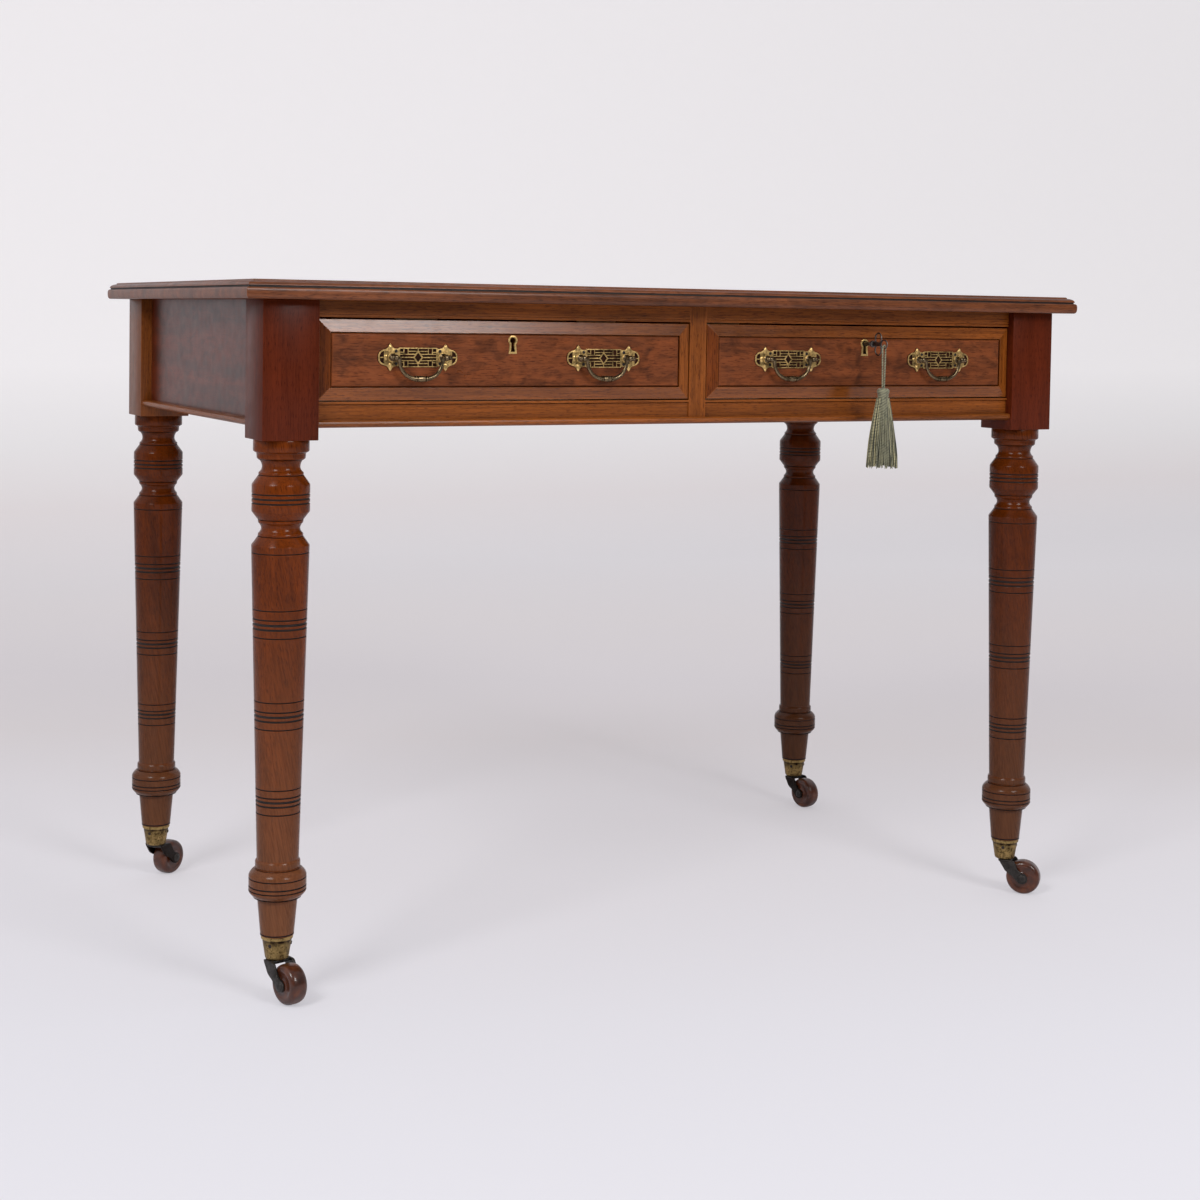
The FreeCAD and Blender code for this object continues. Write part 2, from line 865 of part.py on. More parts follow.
def post(x):
    """A handle post: the stud through the front, a foot on the plate and an eye for the bail."""
    foot = panel_face - back_plate_thickness
    end = core_back + nut_thickness
    stud = rod_y(x, handle_height, end, pivot_y, post_radius)
    flange = rod_y(x, handle_height, foot, foot - post_foot_thickness, post_foot_radius)
    eye = rod_x(pivot_y, handle_height, x - eye_width / 2, x + eye_width / 2, eye_outer_radius)
    bore_radius = over_flats(bail_pin_radius + running_fit, small_sides)
    bore = rod_x(pivot_y, handle_height, x - eye_width, x + eye_width, bore_radius)
    return stud.fuse(flange).fuse(eye).cut(bore)


def post_nut(x):
    """The square nut on a post, inside the drawer."""
    half = nut_width / 2
    end = core_back + nut_thickness
    nut = box(x - half, x + half, core_back, end, handle_height - half, handle_height + half)
    return nut.cut(rod_y(x, handle_height, core_back - overrun, end + overrun, post_radius))


def bail_path():
    """Middle line of a bail from one pivot to the other, its corners rounded in short steps."""
    top = V(bail_top_half, 0, 0)
    corner = V(bail_foot_half, 0, -bail_drop)
    down = (corner - top).normalize()
    turn = down.getAngle(V(-1, 0, 0))
    start = corner - down * (bail_corner_radius * math.tan(turn / 2))
    inwards = V(down.z, 0, -down.x)
    centre = start + inwards * bail_corner_radius
    right = [top]
    for i in range(bail_corner_steps + 1):
        angle = turn * i / bail_corner_steps
        spoke = down * math.sin(angle) - inwards * math.cos(angle)
        right.append(centre + spoke * bail_corner_radius)
    return right + [V(-point.x, 0, point.z) for point in reversed(right)]


def bent_rod(path, radius, sides):
    """A rod along a path in the XZ plane, its facets mitred at every bend."""
    rings = []
    for i, point in enumerate(path):
        arriving = (point - path[i - 1]).normalize() if i > 0 else (path[1] - point).normalize()
        leaving = (path[i + 1] - point).normalize() if i + 1 < len(path) else arriving
        middle = (arriving + leaving).normalize()
        stretch = 1 / middle.dot(arriving)
        rings.append(ring(point, V(-middle.z, 0, middle.x) * stretch, V(0, 1, 0), radius, sides))
    return skin(rings)


def bail(centre_x):
    """The hanging bail: a bent rod with a grip in the middle and a knobbed pin at each pivot."""
    shape = bent_rod(bail_path(), bail_rod_radius, bail_sides)
    grip = bail_collar_length / 2
    shape = shape.fuse(rod_x(0, -bail_drop, -grip, grip, bail_collar_radius, bail_sides))
    for sign in (-1, 1):
        inside = sign * (bail_top_half - bail_rod_radius)
        cheek = sign * (bail_top_half + bail_rod_radius * 2 / 3)
        outside = sign * (post_spacing / 2 + eye_width / 2 + running_gap)
        tip = outside + sign * bail_knob_length
        shape = shape.fuse(rod_x(0, 0, inside, cheek, bail_rod_radius, bail_sides))
        shape = shape.fuse(rod_x(0, 0, cheek, outside, bail_pin_radius, bail_sides))
        knob = []
        for x, radius in ((outside, bail_knob_radius), (tip, bail_knob_radius * 2 / 3)):
            knob.append(ring(V(x, 0, 0), V(0, 1, 0), V(0, 0, 1), radius, bail_sides))
        shape = shape.fuse(skin(knob))
    shape.translate(V(centre_x, pivot_y, handle_height))
    return shape


def bow_lobes():
    """Middles of the bow's three lobes: how far out from the panel, and how high."""
    near = panel_face - shank_reach - lobe_radius
    far = near - lobe_pitch * math.sqrt(3)
    return [(near, lobe_pitch), (near, -lobe_pitch), (far, 0)]


def key(key_x):
    """The key: a pierced three-lobed bow, a collared shank, and the bit that throws the bolt."""
    tip = plate_front - shank_tip_gap
    lobes = bow_lobes()
    near = lobes[0][0]
    far = lobes[-1][0]
    half = bow_thickness / 2
    bore_radius = over_flats(drill_pin_radius + running_fit, small_sides)
    bore = rod_y(key_x, key_height, tip + overrun, case_front - bore_extra, bore_radius)
    bit = box(key_x - bit_thickness / 2, key_x + bit_thickness / 2, bolt_front, bolt_front + bolt_thickness,
              key_height - bit_reach, key_height)
    collar_y = panel_face - collar_reach
    solids = [
        bit,
        rod_y(key_x, key_height, collar_y, collar_y - collar_length, collar_radius, key_sides),
        box(key_x - half, key_x + half, far, near, key_height - half, key_height + half),
    ]
    holes = [bore]
    for y, rise in lobes:
        height = key_height + rise
        solids.append(rod_x(y, height, key_x - half, key_x + half, lobe_radius, key_sides))
        hole_end = key_x + lobe_radius
        holes.append(rod_x(y, height, key_x - lobe_radius, hole_end, lobe_hole_radius, key_sides))
    shank = rod_y(key_x, key_height, tip, near, shank_radius, key_sides)
    return shank.multiFuse(solids).removeSplitter().cut(holes)


def castor_cup():
    """The tapered cup on the foot of a leg, bored for the pintle."""
    lip_foot = cup_top - cup_lip_height
    slope = (cup_top_radius - cup_bottom_radius) / cup_height
    outer = [
        (cup_top, cup_top_radius + cup_lip_reach),
        (lip_foot, cup_top_radius + cup_lip_reach),
        (lip_foot, cup_top_radius - slope * cup_lip_height),
        (cup_bottom, cup_bottom_radius),
    ]
    bore_radius = over_flats(pintle_radius + running_fit, small_sides)
    bore_ends = [cup_bottom - overrun, cup_bottom + cup_floor + overrun]
    bore = turned([(z, bore_radius) for z in bore_ends], small_sides)
    return turned(outer, turned_sides).cut([turned(cavity_levels(), turned_sides), bore])


def fork():
    """The two-armed horn that carries a wheel, with its pintle and the axle riveted through."""
    crown_top = cup_bottom - running_gap
    inner = wheel_thickness / 2 + wheel_side_gap
    outer = inner + arm_thickness
    crown = box(-crown_back, crown_front, -outer, outer, crown_top - crown_thickness, crown_top)
    solids = []
    for start, end in ((-outer, -inner), (inner, outer)):
        side = [V(trail * out, start, cup_bottom * up) for out, up in arm_shares]
        solids.append(prism(side, V(0, end - start, 0)))
        solids.append(rod_y(trail, wheel_radius, start, end, arm_boss_radius))
    head = cup_bottom + cup_floor + running_gap
    solids.append(turned([(crown_top, pintle_radius), (head, pintle_radius), (head, pintle_head_radius),
                          (head + pintle_head_length, pintle_head_radius)], small_sides))
    hole = rod_y(trail, wheel_radius, -outer - overrun, outer + overrun, axle_radius)
    shape = crown.multiFuse(solids).removeSplitter().cut(hole)
    axle = rod_y(trail, wheel_radius, -outer, outer, axle_radius)
    for end, tip in ((-outer, -outer - axle_head_length), (outer, outer + axle_head_length)):
        axle = axle.fuse(rod_y(trail, wheel_radius, end, tip, axle_head_radius))
    return group([shape, axle])


def wheel():
    """The ceramic wheel, its tread rounded off towards both sides."""
    half = wheel_thickness / 2
    flat = half - wheel_round
    side_radius = wheel_radius - wheel_round * 2 / 3
    levels = [(-half, side_radius), (-flat, wheel_radius), (flat, wheel_radius), (half, side_radius)]
    rings = []
    for y, radius in levels:
        corner_radius = over_flats(radius, wheel_sides)
        rings.append(ring(V(trail, y, wheel_radius), V(1, 0, 0), V(0, 0, 1), corner_radius, wheel_sides))
    bore_radius = over_flats(axle_radius + running_fit, small_sides)
    return skin(rings).cut(rod_y(trail, wheel_radius, -half - overrun, half + overrun, bore_radius))


def tassel_cord(key_x, hang_y):
    """One doubled cord: up from the head, through the outer lobe of the bow, and down again."""
    half = bow_thickness / 2 + cord_slack + cord_radius
    low = key_height - cord_drop
    bend = key_height - lobe_hole_radius
    up_left = V(key_x - half, hang_y, bend)
    up_right = V(key_x + half, hang_y, bend)
    down = V(0, 0, low - bend)
    path = Part.Wire([
        Part.LineSegment(up_left + down, up_left).toShape(),
        Part.Arc(up_left, V(key_x, hang_y, bend + half), up_right).toShape(),
        Part.LineSegment(up_right, up_right + down).toShape(),
    ])
    corners = ring(up_left + down, V(1, 0, 0), V(0, 1, 0), cord_radius, cord_sides)
    section = Part.makePolygon(corners + corners[:1])
    tube = path.makePipeShell([section], True, False)
    print("cord: arc radius", half, "mm, length", path.Length, "mm, volume", tube.Volume,
          "mm3, section by length", Part.Face(section).Area * path.Length, "mm3")
    return tube


def tassel(key_x, hang_y):
    """The bound head and the spreading skirt of threads."""
    head_top = key_height - cord_drop
    head_foot = head_top - tassel_head_height
    levels = [
        (head_top, tassel_head_radius * 3 / 4),
        (head_top - tassel_head_height / 5, tassel_head_radius),
        (head_top - tassel_head_height / 2, tassel_head_radius),
        (head_top - tassel_head_height * 2 / 3, tassel_neck_radius),
        (head_foot, tassel_top_radius),
        (head_foot - tassel_skirt_length / 2, (tassel_top_radius + tassel_foot_radius * 2) / 3),
        (head_foot - tassel_skirt_length, tassel_foot_radius),
    ]
    shape = turned(levels, tassel_sides)
    shape.translate(V(key_x, hang_y, 0))
    return shape


def place_castor(shape, corner, sign_x, sign_y):
    """Turns a castor piece to its trailing direction and moves it under its leg."""
    shape.rotate(V(0, 0, 0), V(0, 0, 1), castor_trail_degrees[corner])
    shape.translate(V(sign_x * leg_x, sign_y * leg_y, 0))
    return shape


def save_frame(drawers):
    save(table_top(), "table_top")
    save(end_apron(-1), "side_apron_left")
    save(end_apron(1), "side_apron_right")
    save(back_apron(), "back_apron")
    save(group([end_moulding(-1), end_moulding(1)]), "side_mouldings")
    save(front_moulding(), "front_moulding")
    save(top_rail([drawer.key_x for drawer in drawers]), "top_rail")
    save(bottom_rail(), "bottom_rail")
    save(muntin(), "muntin")
    save(centre_runner(), "centre_runner")
    save(side_runners(), "side_runners")
    save(kickers(), "kickers")
    save(drawer_stops(drawers), "drawer_stops")
    save(glue_blocks(), "glue_blocks")


def save_legs():
    cups = []
    for back_or_front, sign_y in (("front", -1), ("back", 1)):
        for side, sign_x in (("left", -1), ("right", 1)):
            corner = back_or_front + "_" + side
            save(leg(sign_x, sign_y), "leg_" + corner)
            save(place_castor(fork(), corner, sign_x, sign_y), "castor_fork_" + corner)
            save(place_castor(wheel(), corner, sign_x, sign_y), "castor_wheel_" + corner)
            cup = castor_cup()
            cup.translate(V(sign_x * leg_x, sign_y * leg_y, 0))
            cups.append(cup)
    save(group(cups), "castor_cups")


def save_drawer(drawer):
    save(drawer.front(), "drawer_front_" + drawer.name)
    save(drawer.bevel(), "drawer_bevel_" + drawer.name)
    save(drawer.panel(), "drawer_panel_" + drawer.name)
    save(drawer.sides(), "drawer_sides_" + drawer.name)
    save(drawer.back(), "drawer_back_" + drawer.name)
    save(drawer.bottom(), "drawer_bottom_" + drawer.name)
    save(drawer.lock_case(), "lock_case_" + drawer.name)
    save(drawer.bolt(), "lock_bolt_" + drawer.name)
    save(drawer.escutcheon(), "escutcheon_" + drawer.name)
    save(drawer.handle_plates(), "handle_plates_" + drawer.name)
    save(drawer.handle_posts(), "handle_posts_" + drawer.name)
    for place, x in zip(("a", "b"), drawer.handles):
        save(bail(x), "bail_" + drawer.name + "_" + place)


def main():
    os.makedirs("parts", exist_ok=True)
    drawers = [
        Drawer("left", -inner_x, muntin_left),
        Drawer("right", muntin_right, inner_x),
    ]
    save_frame(drawers)
    save_legs()
    for drawer in drawers:
        save_drawer(drawer)
    key_x = drawers[1].key_x
    hang_y = bow_lobes()[-1][0]
    save(key(key_x), "key")
    save(tassel_cord(key_x, hang_y), "tassel_cord")
    save(tassel(key_x, hang_y), "tassel")


main()
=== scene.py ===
"""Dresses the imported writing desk: wood, turned legs, pierced brass, castors, key and tassel.

Metres, Z up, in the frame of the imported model. Sizes in the tables are millimetres.
"""
import math
import random

import bmesh
import bpy
from bpy.props import FloatProperty, FloatVectorProperty, IntProperty, PointerProperty
from mathutils import Matrix, Vector


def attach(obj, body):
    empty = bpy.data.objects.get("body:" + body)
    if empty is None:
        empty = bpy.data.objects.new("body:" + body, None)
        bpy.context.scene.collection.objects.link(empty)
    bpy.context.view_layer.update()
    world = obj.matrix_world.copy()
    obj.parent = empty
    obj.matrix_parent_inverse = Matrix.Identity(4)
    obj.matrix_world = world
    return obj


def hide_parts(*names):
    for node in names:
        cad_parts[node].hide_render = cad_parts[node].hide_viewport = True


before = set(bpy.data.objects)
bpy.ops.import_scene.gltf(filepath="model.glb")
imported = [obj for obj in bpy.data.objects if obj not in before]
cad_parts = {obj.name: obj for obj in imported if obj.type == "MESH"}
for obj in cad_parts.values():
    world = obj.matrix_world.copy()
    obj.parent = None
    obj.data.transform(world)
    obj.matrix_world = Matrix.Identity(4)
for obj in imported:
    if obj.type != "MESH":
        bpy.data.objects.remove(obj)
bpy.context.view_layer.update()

bl_info = {
    "name": "Writing Desk",
    "version": (1, 0, 0),
    "blender": (4, 5, 0),
    "location": "3D View > Sidebar > Desk",
    "description": "Gives a writing desk its wood, brass, castors, key, tassel and studio",
    "category": "Object",
}

MM = 0.001

# Half the top's length and depth, and its height
TOP_X, TOP_Y, TOP_Z = 530, 295, 750
# Middle of a leg, half the width of its square block, and the block's foot and head
LEG_X, LEG_Y = 477.0, 246.0
BLOCK_HALF, BLOCK_FOOT, BLOCK_HEAD = 30, 585.5, 730
# Which way each corner lies, and how far round its castor trails in degrees
CORNERS = {
    "front_left": (-1, -1, -74),
    "front_right": (1, -1, -47),
    "back_left": (-1, 1, 35),
    "back_right": (1, 1, -78),
}
# Middles of the two handles on each drawer, their height, and how far the posts stand from them
HANDLES = {
    "left": (-335.8375, -115.9125),
    "right": (124.9125, 338.8375),
}
HANDLE_Z, POST_X = 671.2, 28.5
# The key in the right drawer, and both keyholes
KEY_X, KEY_Z = 231.875, 690.0
KEYHOLE_X = {"left": -225.875, "right": KEY_X}
# How far forward: faces of the panels, pivots of the bails, side rings of the bow, the tassel
PANEL_Y, PIVOT_Y, BOW_Y, TASSEL_Y = -268.5, -278.5, -296.5, -308.278
# The camera that was fitted to the photo: its place in metres, its turns in degrees and its lens
CAMERA_SPOT = (-1.12147, -2.22472, 0.71692)
CAMERA_YAW, CAMERA_PITCH, CAMERA_ROLL = 27.13127, 2.39038, 0.89210
CAMERA_LENS, CAMERA_SENSOR = 59.713, 36.0
# The picture is framed 200 of its 1200 pixels below the camera's axis
CAMERA_SHIFT = -200 / 1200


def linear(code):
    """Linear colour of a six-figure sRGB code."""
    parts = [int(code[i:i + 2], 16) / 255 for i in (1, 3, 5)]
    return tuple(p / 12.92 if p <= 0.04045 else ((p + 0.055) / 1.055) ** 2.4 for p in parts)


def colour_setting(name, description, code):
    """A colour that the user can change, from its first sRGB code."""
    return FloatVectorProperty(name=name, description=description, subtype="COLOR", size=3,
                               min=0, max=1, default=linear(code))


class DeskWoodSettings(bpy.types.PropertyGroup):
    red: colour_setting("Red mahogany", "Body colour of the posts and the end aprons", "#521e0b")
    golden: colour_setting("Golden mahogany", "Body colour of the rails and bevels", "#7c4216")
    turned: colour_setting("Turned mahogany", "Body colour of the turned legs", "#622a07")
    top: colour_setting("Top", "Body colour of the top board and its moulding", "#67391f")
    worn: colour_setting("Worn ankles", "Wood where the polish has gone by the castors", "#69432c")
    panel: colour_setting("Panels", "Body colour of the figured panels", "#6c381b")
    oak: colour_setting("Drawer oak", "Colour of the oak inside the drawers", "#a67d4d")
    edge_radius: FloatProperty(
        name="Softened edge", description="How far polish and handling have rounded the edges",
        unit="LENGTH", min=0.0001, max=0.003, default=0.0008)


class DeskTurningSettings(bpy.types.PropertyGroup):
    facets: IntProperty(
        name="Facets", description="Steps round a turned shaft", min=24, max=192, default=96)
    groove_depth: FloatProperty(
        name="Groove depth", description="Depth of the scribed lines on the legs",
        unit="LENGTH", min=0.0002, max=0.002, default=0.0011)


class DeskMetalSettings(bpy.types.PropertyGroup):
    brass: colour_setting("Brass", "Rubbed brass of the plates and castor cups", "#dfbb78")
    tarnish: colour_setting("Tarnish", "Brown tarnish in the hollows of all the metals", "#2e1c0f")
    bronze: colour_setting("Bronze", "Darker metal of the bails and their posts", "#76654c")
    steel: colour_setting("Steel", "Colour of the key, and darker of the castor horns", "#6d6763")


class DeskTasselSettings(bpy.types.PropertyGroup):
    cord_diameter: FloatProperty(
        name="Cord diameter", description="Diameter of the hanging cord",
        unit="LENGTH", min=0.001, max=0.004, default=0.002)
    threads: IntProperty(
        name="Threads", description="Threads in one ring of the skirt",
        min=12, max=120, default=84)
    sage: colour_setting("Sage", "Main colour of the silk", "#716f58")
    straw: colour_setting("Straw", "Lighter threads among the sage ones", "#a29a74")
    # The darkest threads stand for painted shade deep in the skirt
    olive: colour_setting("Dark olive", "Darkest threads of the skirt", "#242820")


class DeskStageSettings(bpy.types.PropertyGroup):
    floor: colour_setting("Floor", "Colour of the floor", "#e8e5ea")
    foot: colour_setting("Foot of the wall", "Colour where the backdrop turns up", "#ece6e9")
    wall: colour_setting("Wall", "Colour of the backdrop higher up", "#fffcff")
    dim: colour_setting("Dim side", "What polish and metal mirror from in front", "#5c5a5e")
    key_power: FloatProperty(
        name="Key light", description="Power of the lamp on the left", subtype="POWER",
        min=0, max=500, default=66)
    fill_power: FloatProperty(
        name="Fill light", description="Power of the lamp in front on the right", subtype="POWER",
        min=0, max=500, default=44)
    world_strength: FloatProperty(
        name="Even light", description="Strength of the light from all round",
        min=0, max=2, default=0.52)


def set_up(node, settings):
    """Sets a node's properties, sockets and colour stops; a node or a socket is linked in."""
    for name, value in settings.items():
        if name == "stops":
            elements = node.color_ramp.elements
            for i, (place, shade) in enumerate(value):
                element = elements[i] if i < len(elements) else elements.new(place)
                element.position = place
                element.color = (*shade, 1)
        elif isinstance(value, (bpy.types.Node, bpy.types.NodeSocket)):
            if isinstance(value, bpy.types.Node):
                value = next(out for out in value.outputs if out.enabled)
            node.id_data.links.new(value, node.inputs[name])
        elif isinstance(name, int) or name in node.inputs:
            node.inputs[name].default_value = value
        else:
            setattr(node, name, value)
    return node


def add(tree, kind, settings=None):
    """Adds a shader node of that kind with its settings and links."""
    return set_up(tree.nodes.new("ShaderNode" + kind), settings or {})


def new_material(name):
    """A material whose tree holds a surface shader and the output."""
    material = bpy.data.materials.new(name)
    material.use_nodes = True
    tree = material.node_tree
    tree.nodes.clear()
    shader = add(tree, "BsdfPrincipled")
    add(tree, "OutputMaterial", {"Surface": shader})
    return material, tree, shader


def scaled(shade, amount):
    return tuple(min(1.0, part * amount) for part in shade)


# How each grain direction is laid: the turn that brings it to the texture's X. The grain of the
# turned legs slants by 0.2 radians
GRAIN_TURNS = {"x": (0, 0, 0), "y": (0, 0, -math.pi / 2), "z": (0, math.pi / 2, 0),
               "slanting": (0, math.pi / 2 + 0.2, 0)}
# Facing: a strip slopes to one side where the square of its normal's X is over the first value,
# and to the left where that X is under the second
SIDEWAYS, LEFTWARD = 0.02, -0.14

# Shades that growth lines, pores and casting pits lay over a colour, by the pattern's height
STREAKS = [(0.34, (0.40, 0.34, 0.30)), (0.50, (0.96, 0.96, 0.96)), (0.66, (1.40, 1.38, 1.30))]
PORES = [(0.34, (0.32, 0.26, 0.22)), (0.42, (1, 1, 1))]
PITS = [(0.36, (0.12, 0.10, 0.08)), (0.46, (1, 1, 1))]
# How much further than the rounding of an edge its polish is rubbed
RUB_REACH = 2.2


def sideways_lean(tree):
    """X of the flat face's own normal: how far it faces to the right."""
    normal = add(tree, "NewGeometry").outputs["True Normal"]
    return add(tree, "SeparateXYZ", {"Vector": normal}).outputs["X"]


def along_grain(tree, grain, along, across):
    """Object coordinates divided by a real size in millimetres along and across the grain."""
    place = add(tree, "TexCoord").outputs["Object"]
    scale = (1 / (along * MM), 1 / (across * MM), 1 / (across * MM))
    ways = []
    for way in grain.split():
        turned_place = add(tree, "Mapping", {"Rotation": GRAIN_TURNS[way], "Vector": place})
        ways.append(add(tree, "Mapping", {"Scale": scale, "Vector": turned_place}))
    if len(ways) == 1:
        return ways[0]
    # Two ways are a frame of mitred strips: those that slope to a side take the second grain
    lean = sideways_lean(tree)
    square = add(tree, "Math", {"operation": "MULTIPLY", 0: lean, 1: lean})
    upright = add(tree, "Math", {"operation": "GREATER_THAN", 0: square, 1: SIDEWAYS})
    return add(tree, "Mix", {
        "data_type": "VECTOR", "Factor": upright, "A": ways[0], "B": ways[1]})


def fibres(tree, grain, along, across, detail, distortion=0.0):
    """A cloudy pattern drawn out along the grain, from its real size in millimetres."""
    return add(tree, "TexNoise", {
        "Vector": along_grain(tree, grain, along, across), "Scale": 1.0, "Detail": detail,
        "Distortion": distortion})


def tinted(tree, colour, pattern, stops, amount=1.0):
    """The colour with a pattern's shades laid over it as a glaze."""
    glaze = add(tree, "ValToRGB", {"Fac": pattern, "stops": stops})
    return add(tree, "Mix", {
        "data_type": "RGBA", "blend_type": "MULTIPLY", "Factor": amount, "A": colour, "B": glaze})


def soft_edges(tree, radius):
    """A normal with rounded edges, and a mask that is 1 where an edge is near."""
    rounded_normal = add(tree, "Bevel", {"samples": 6, "Radius": radius})
    wide = add(tree, "Bevel", {"samples": 6, "Radius": radius * RUB_REACH})
    normal = add(tree, "NewGeometry").outputs["Normal"]
    facing = add(tree, "VectorMath", {"operation": "DOT_PRODUCT", 0: wide, 1: normal})
    # An edge is near where the wide rounding turns the normal by 8 degrees, and full at 26
    mask = add(tree, "MapRange", {"Value": facing, "From Min": 0.99, "From Max": 0.90})
    return rounded_normal, mask


def polished_wood(name, body, grain, dark=0.55, pale=1.3, contrast=0.5, curl=0.0, gloss=0.30,
                  shine=0.3, worn=None, rub=1.7, painted_left_shade=None):
    """Wood in long fibres under French polish: growth bands, streaks, pores and softened edges."""
    if name in bpy.data.materials:
        return bpy.data.materials[name]
    material, tree, shader = new_material(name)
    colour = add(tree, "ValToRGB", {
        "Fac": fibres(tree, grain, 420, 26, 3.0, 0.6),
        "stops": [(0.30, scaled(body, dark)), (0.50, body), (0.72, scaled(body, pale))]})
    # Growth lines are half a millimetre apart, and are drawn at 1.5 mm to show
    streaks = fibres(tree, grain, 48, 1.5, 3.0)
    colour = tinted(tree, colour, streaks, STREAKS, contrast)
    # Real pores are a quarter of a millimetre wide, and are drawn at 0.8 mm to show
    colour = tinted(tree, colour, fibres(tree, grain, 8, 0.8, 1.0), PORES, 0.7)
    if curl:
        # Cross figure of the cut: soft curly blotches 20 to 34 mm across
        colour = tinted(tree, colour, fibres(tree, grain, 34, 20, 4.0, 1.6), [
            (0.34, scaled((1, 1, 1), 1 - curl)), (0.5, (1, 1, 1)),
            (0.68, (1 + 0.5 * curl, 1 + 0.4 * curl, 1 + 0.3 * curl))])
    if painted_left_shade:
        # Painted shade: the strip that slopes to the left end is drawn darker and yellower than the
        # others
        leftward = add(tree, "Math", {
            "operation": "LESS_THAN", 0: sideways_lean(tree), 1: LEFTWARD})
        colour = add(tree, "Mix", {
            "data_type": "RGBA", "blend_type": "MULTIPLY", "Factor": leftward, "A": colour,
            "B": (*painted_left_shade, 1)})
    place = add(tree, "TexCoord").outputs["Object"]
    if worn:
        # Polish that feet and mops have taken off, most at the ankle and none from 420 mm up
        height = add(tree, "SeparateXYZ", {"Vector": place}).outputs["Z"]
        fade = add(tree, "MapRange", {
            "Value": height, "From Min": 0.42, "From Max": 0.08, "To Min": 0.0, "To Max": 0.85})
        bare = tinted(tree, (*worn, 1), streaks, STREAKS, contrast)
        colour = add(tree, "Mix", {
            "data_type": "RGBA", "Factor": fade, "A": colour, "B": bare})
    # Edges are rubbed paler, and the gloss is uneven, in patches of 17 mm
    patchy = add(tree, "TexNoise", {"Vector": place, "Scale": 1 / (17 * MM), "Detail": 3.0})
    edge_normal, edge = soft_edges(tree, bpy.context.scene.desk_wood.edge_radius)
    rub_share = add(tree, "Math", {"operation": "MULTIPLY", 0: edge, 1: patchy})
    colour = add(tree, "Mix", {
        "data_type": "RGBA", "Factor": rub_share, "A": colour, "B": (*scaled(body, rub), 1)})
    haze = add(tree, "MapRange", {
        "Value": patchy, "To Min": gloss - 0.05, "To Max": gloss + 0.12})
    bump = add(tree, "Bump", {
        "Strength": 0.16, "Distance": 0.0002, "Height": streaks, "Normal": edge_normal})
    set_up(shader, {
        "Base Color": colour, "Roughness": haze, "Normal": bump, "IOR": 1.5,
        "Specular IOR Level": shine, "Coat Weight": shine * 0.3, "Coat Roughness": 0.14})
    return material


def red_mahogany(grain):
    # Mahogany, planed and French polished red: a deep even red-brown with short dark pores
    name = "french_polished_red_mahogany_" + grain
    body = bpy.context.scene.desk_wood.red
    if grain == "y":
        return polished_wood(name, body, grain, contrast=0.2, curl=0.45)
    return polished_wood(name, body, grain, dark=0.75, pale=1.2, contrast=0.32, shine=0.08)


def golden_mahogany(grain, depth=1.0):
    # Mahogany, scraped and waxed over old polish: orange-brown ribbons between darker streaks
    name = "waxed_golden_mahogany_%s_%03d" % (grain, round(depth * 100))
    return polished_wood(name, scaled(bpy.context.scene.desk_wood.golden, depth), grain, shine=0.2)


def top_mahogany():
    # The same mahogany, planed and handled for years on the top: browner, in fine dark flecks
    return polished_wood("handled_brown_mahogany", bpy.context.scene.desk_wood.top, "x",
                         contrast=0.55, curl=0.2, shine=0.25)


def polished_bevel():
    # The same wood burnished smooth on the drawer bevels, so that they catch the light in a streak;
    # the strip at the left end is drawn darker as painted shade
    return polished_wood("burnished_golden_mahogany", bpy.context.scene.desk_wood.golden, "x z",
                         gloss=0.19, shine=0.32, rub=1.15, painted_left_shade=(0.62, 0.50, 0.36))


def turned_mahogany(depth):
    # Mahogany turned on a lathe and waxed: golden brown, rubbed pale and dull at the ankles
    # A depth under 1 darkens a leg's colour and its ankles as painted shade
    wood = bpy.context.scene.desk_wood
    return polished_wood("turned_waxed_mahogany_%03d" % round(depth * 100),
                         scaled(wood.turned, depth), "slanting", dark=0.72, pale=1.25,
                         contrast=0.34, curl=0.14, gloss=0.16, shine=0.13,
                         worn=scaled(wood.worn, depth))


def figured_mahogany():
    # Crotch-cut mahogany veneer, waxed: browner, in soft curls that glow between dark ones
    return polished_wood("waxed_figured_mahogany", bpy.context.scene.desk_wood.panel, "x",
                         contrast=0.26, curl=0.42, gloss=0.28, shine=0.22)


def drawer_oak(grain):
    # Quarter-sawn oak, planed and left bare: pale brown with long pores and no gloss
    return polished_wood("planed_drawer_oak_" + grain, bpy.context.scene.desk_wood.oak, grain,
                         dark=0.6, pale=1.2, gloss=0.62)


def blotched(name, size, stops, finish):
    """A skin whose colour drifts in blotches of a real size in millimetres."""
    if name in bpy.data.materials:
        return bpy.data.materials[name]
    material, tree, shader = new_material(name)
    place = add(tree, "TexCoord").outputs["Object"]
    blotches = add(tree, "TexNoise", {
        "Vector": place, "Scale": 1 / (size * MM), "Detail": 3.0})
    colour = add(tree, "ValToRGB", {
        "Fac": blotches, "stops": [(height, linear(code)) for height, code in stops]})
    set_up(shader, {"Base Color": colour, **finish})
    return material


def wax_and_painted_shade():
    # Old wax and dust in the scribed lines and the top's quirk, with painted shade there too: near
    # black and dull; the castor cups' screw heads are drawn in it as well
    return blotched("old_wax_in_scribed_lines", 6, [(0.35, "#0d0705"), (0.7, "#24130c")],
                    {"Roughness": 0.55})


def grime_and_painted_shade():
    # Painted shade on the wood behind the piercings and just round the plate, with some caked
    # polish and dust: dark red-brown and matt
    return blotched("caked_polish_grime", 9, [(0.35, "#1c0d06"), (0.7, "#3a1d10")],
                    {"Roughness": 0.8, "Specular IOR Level": 0.1})


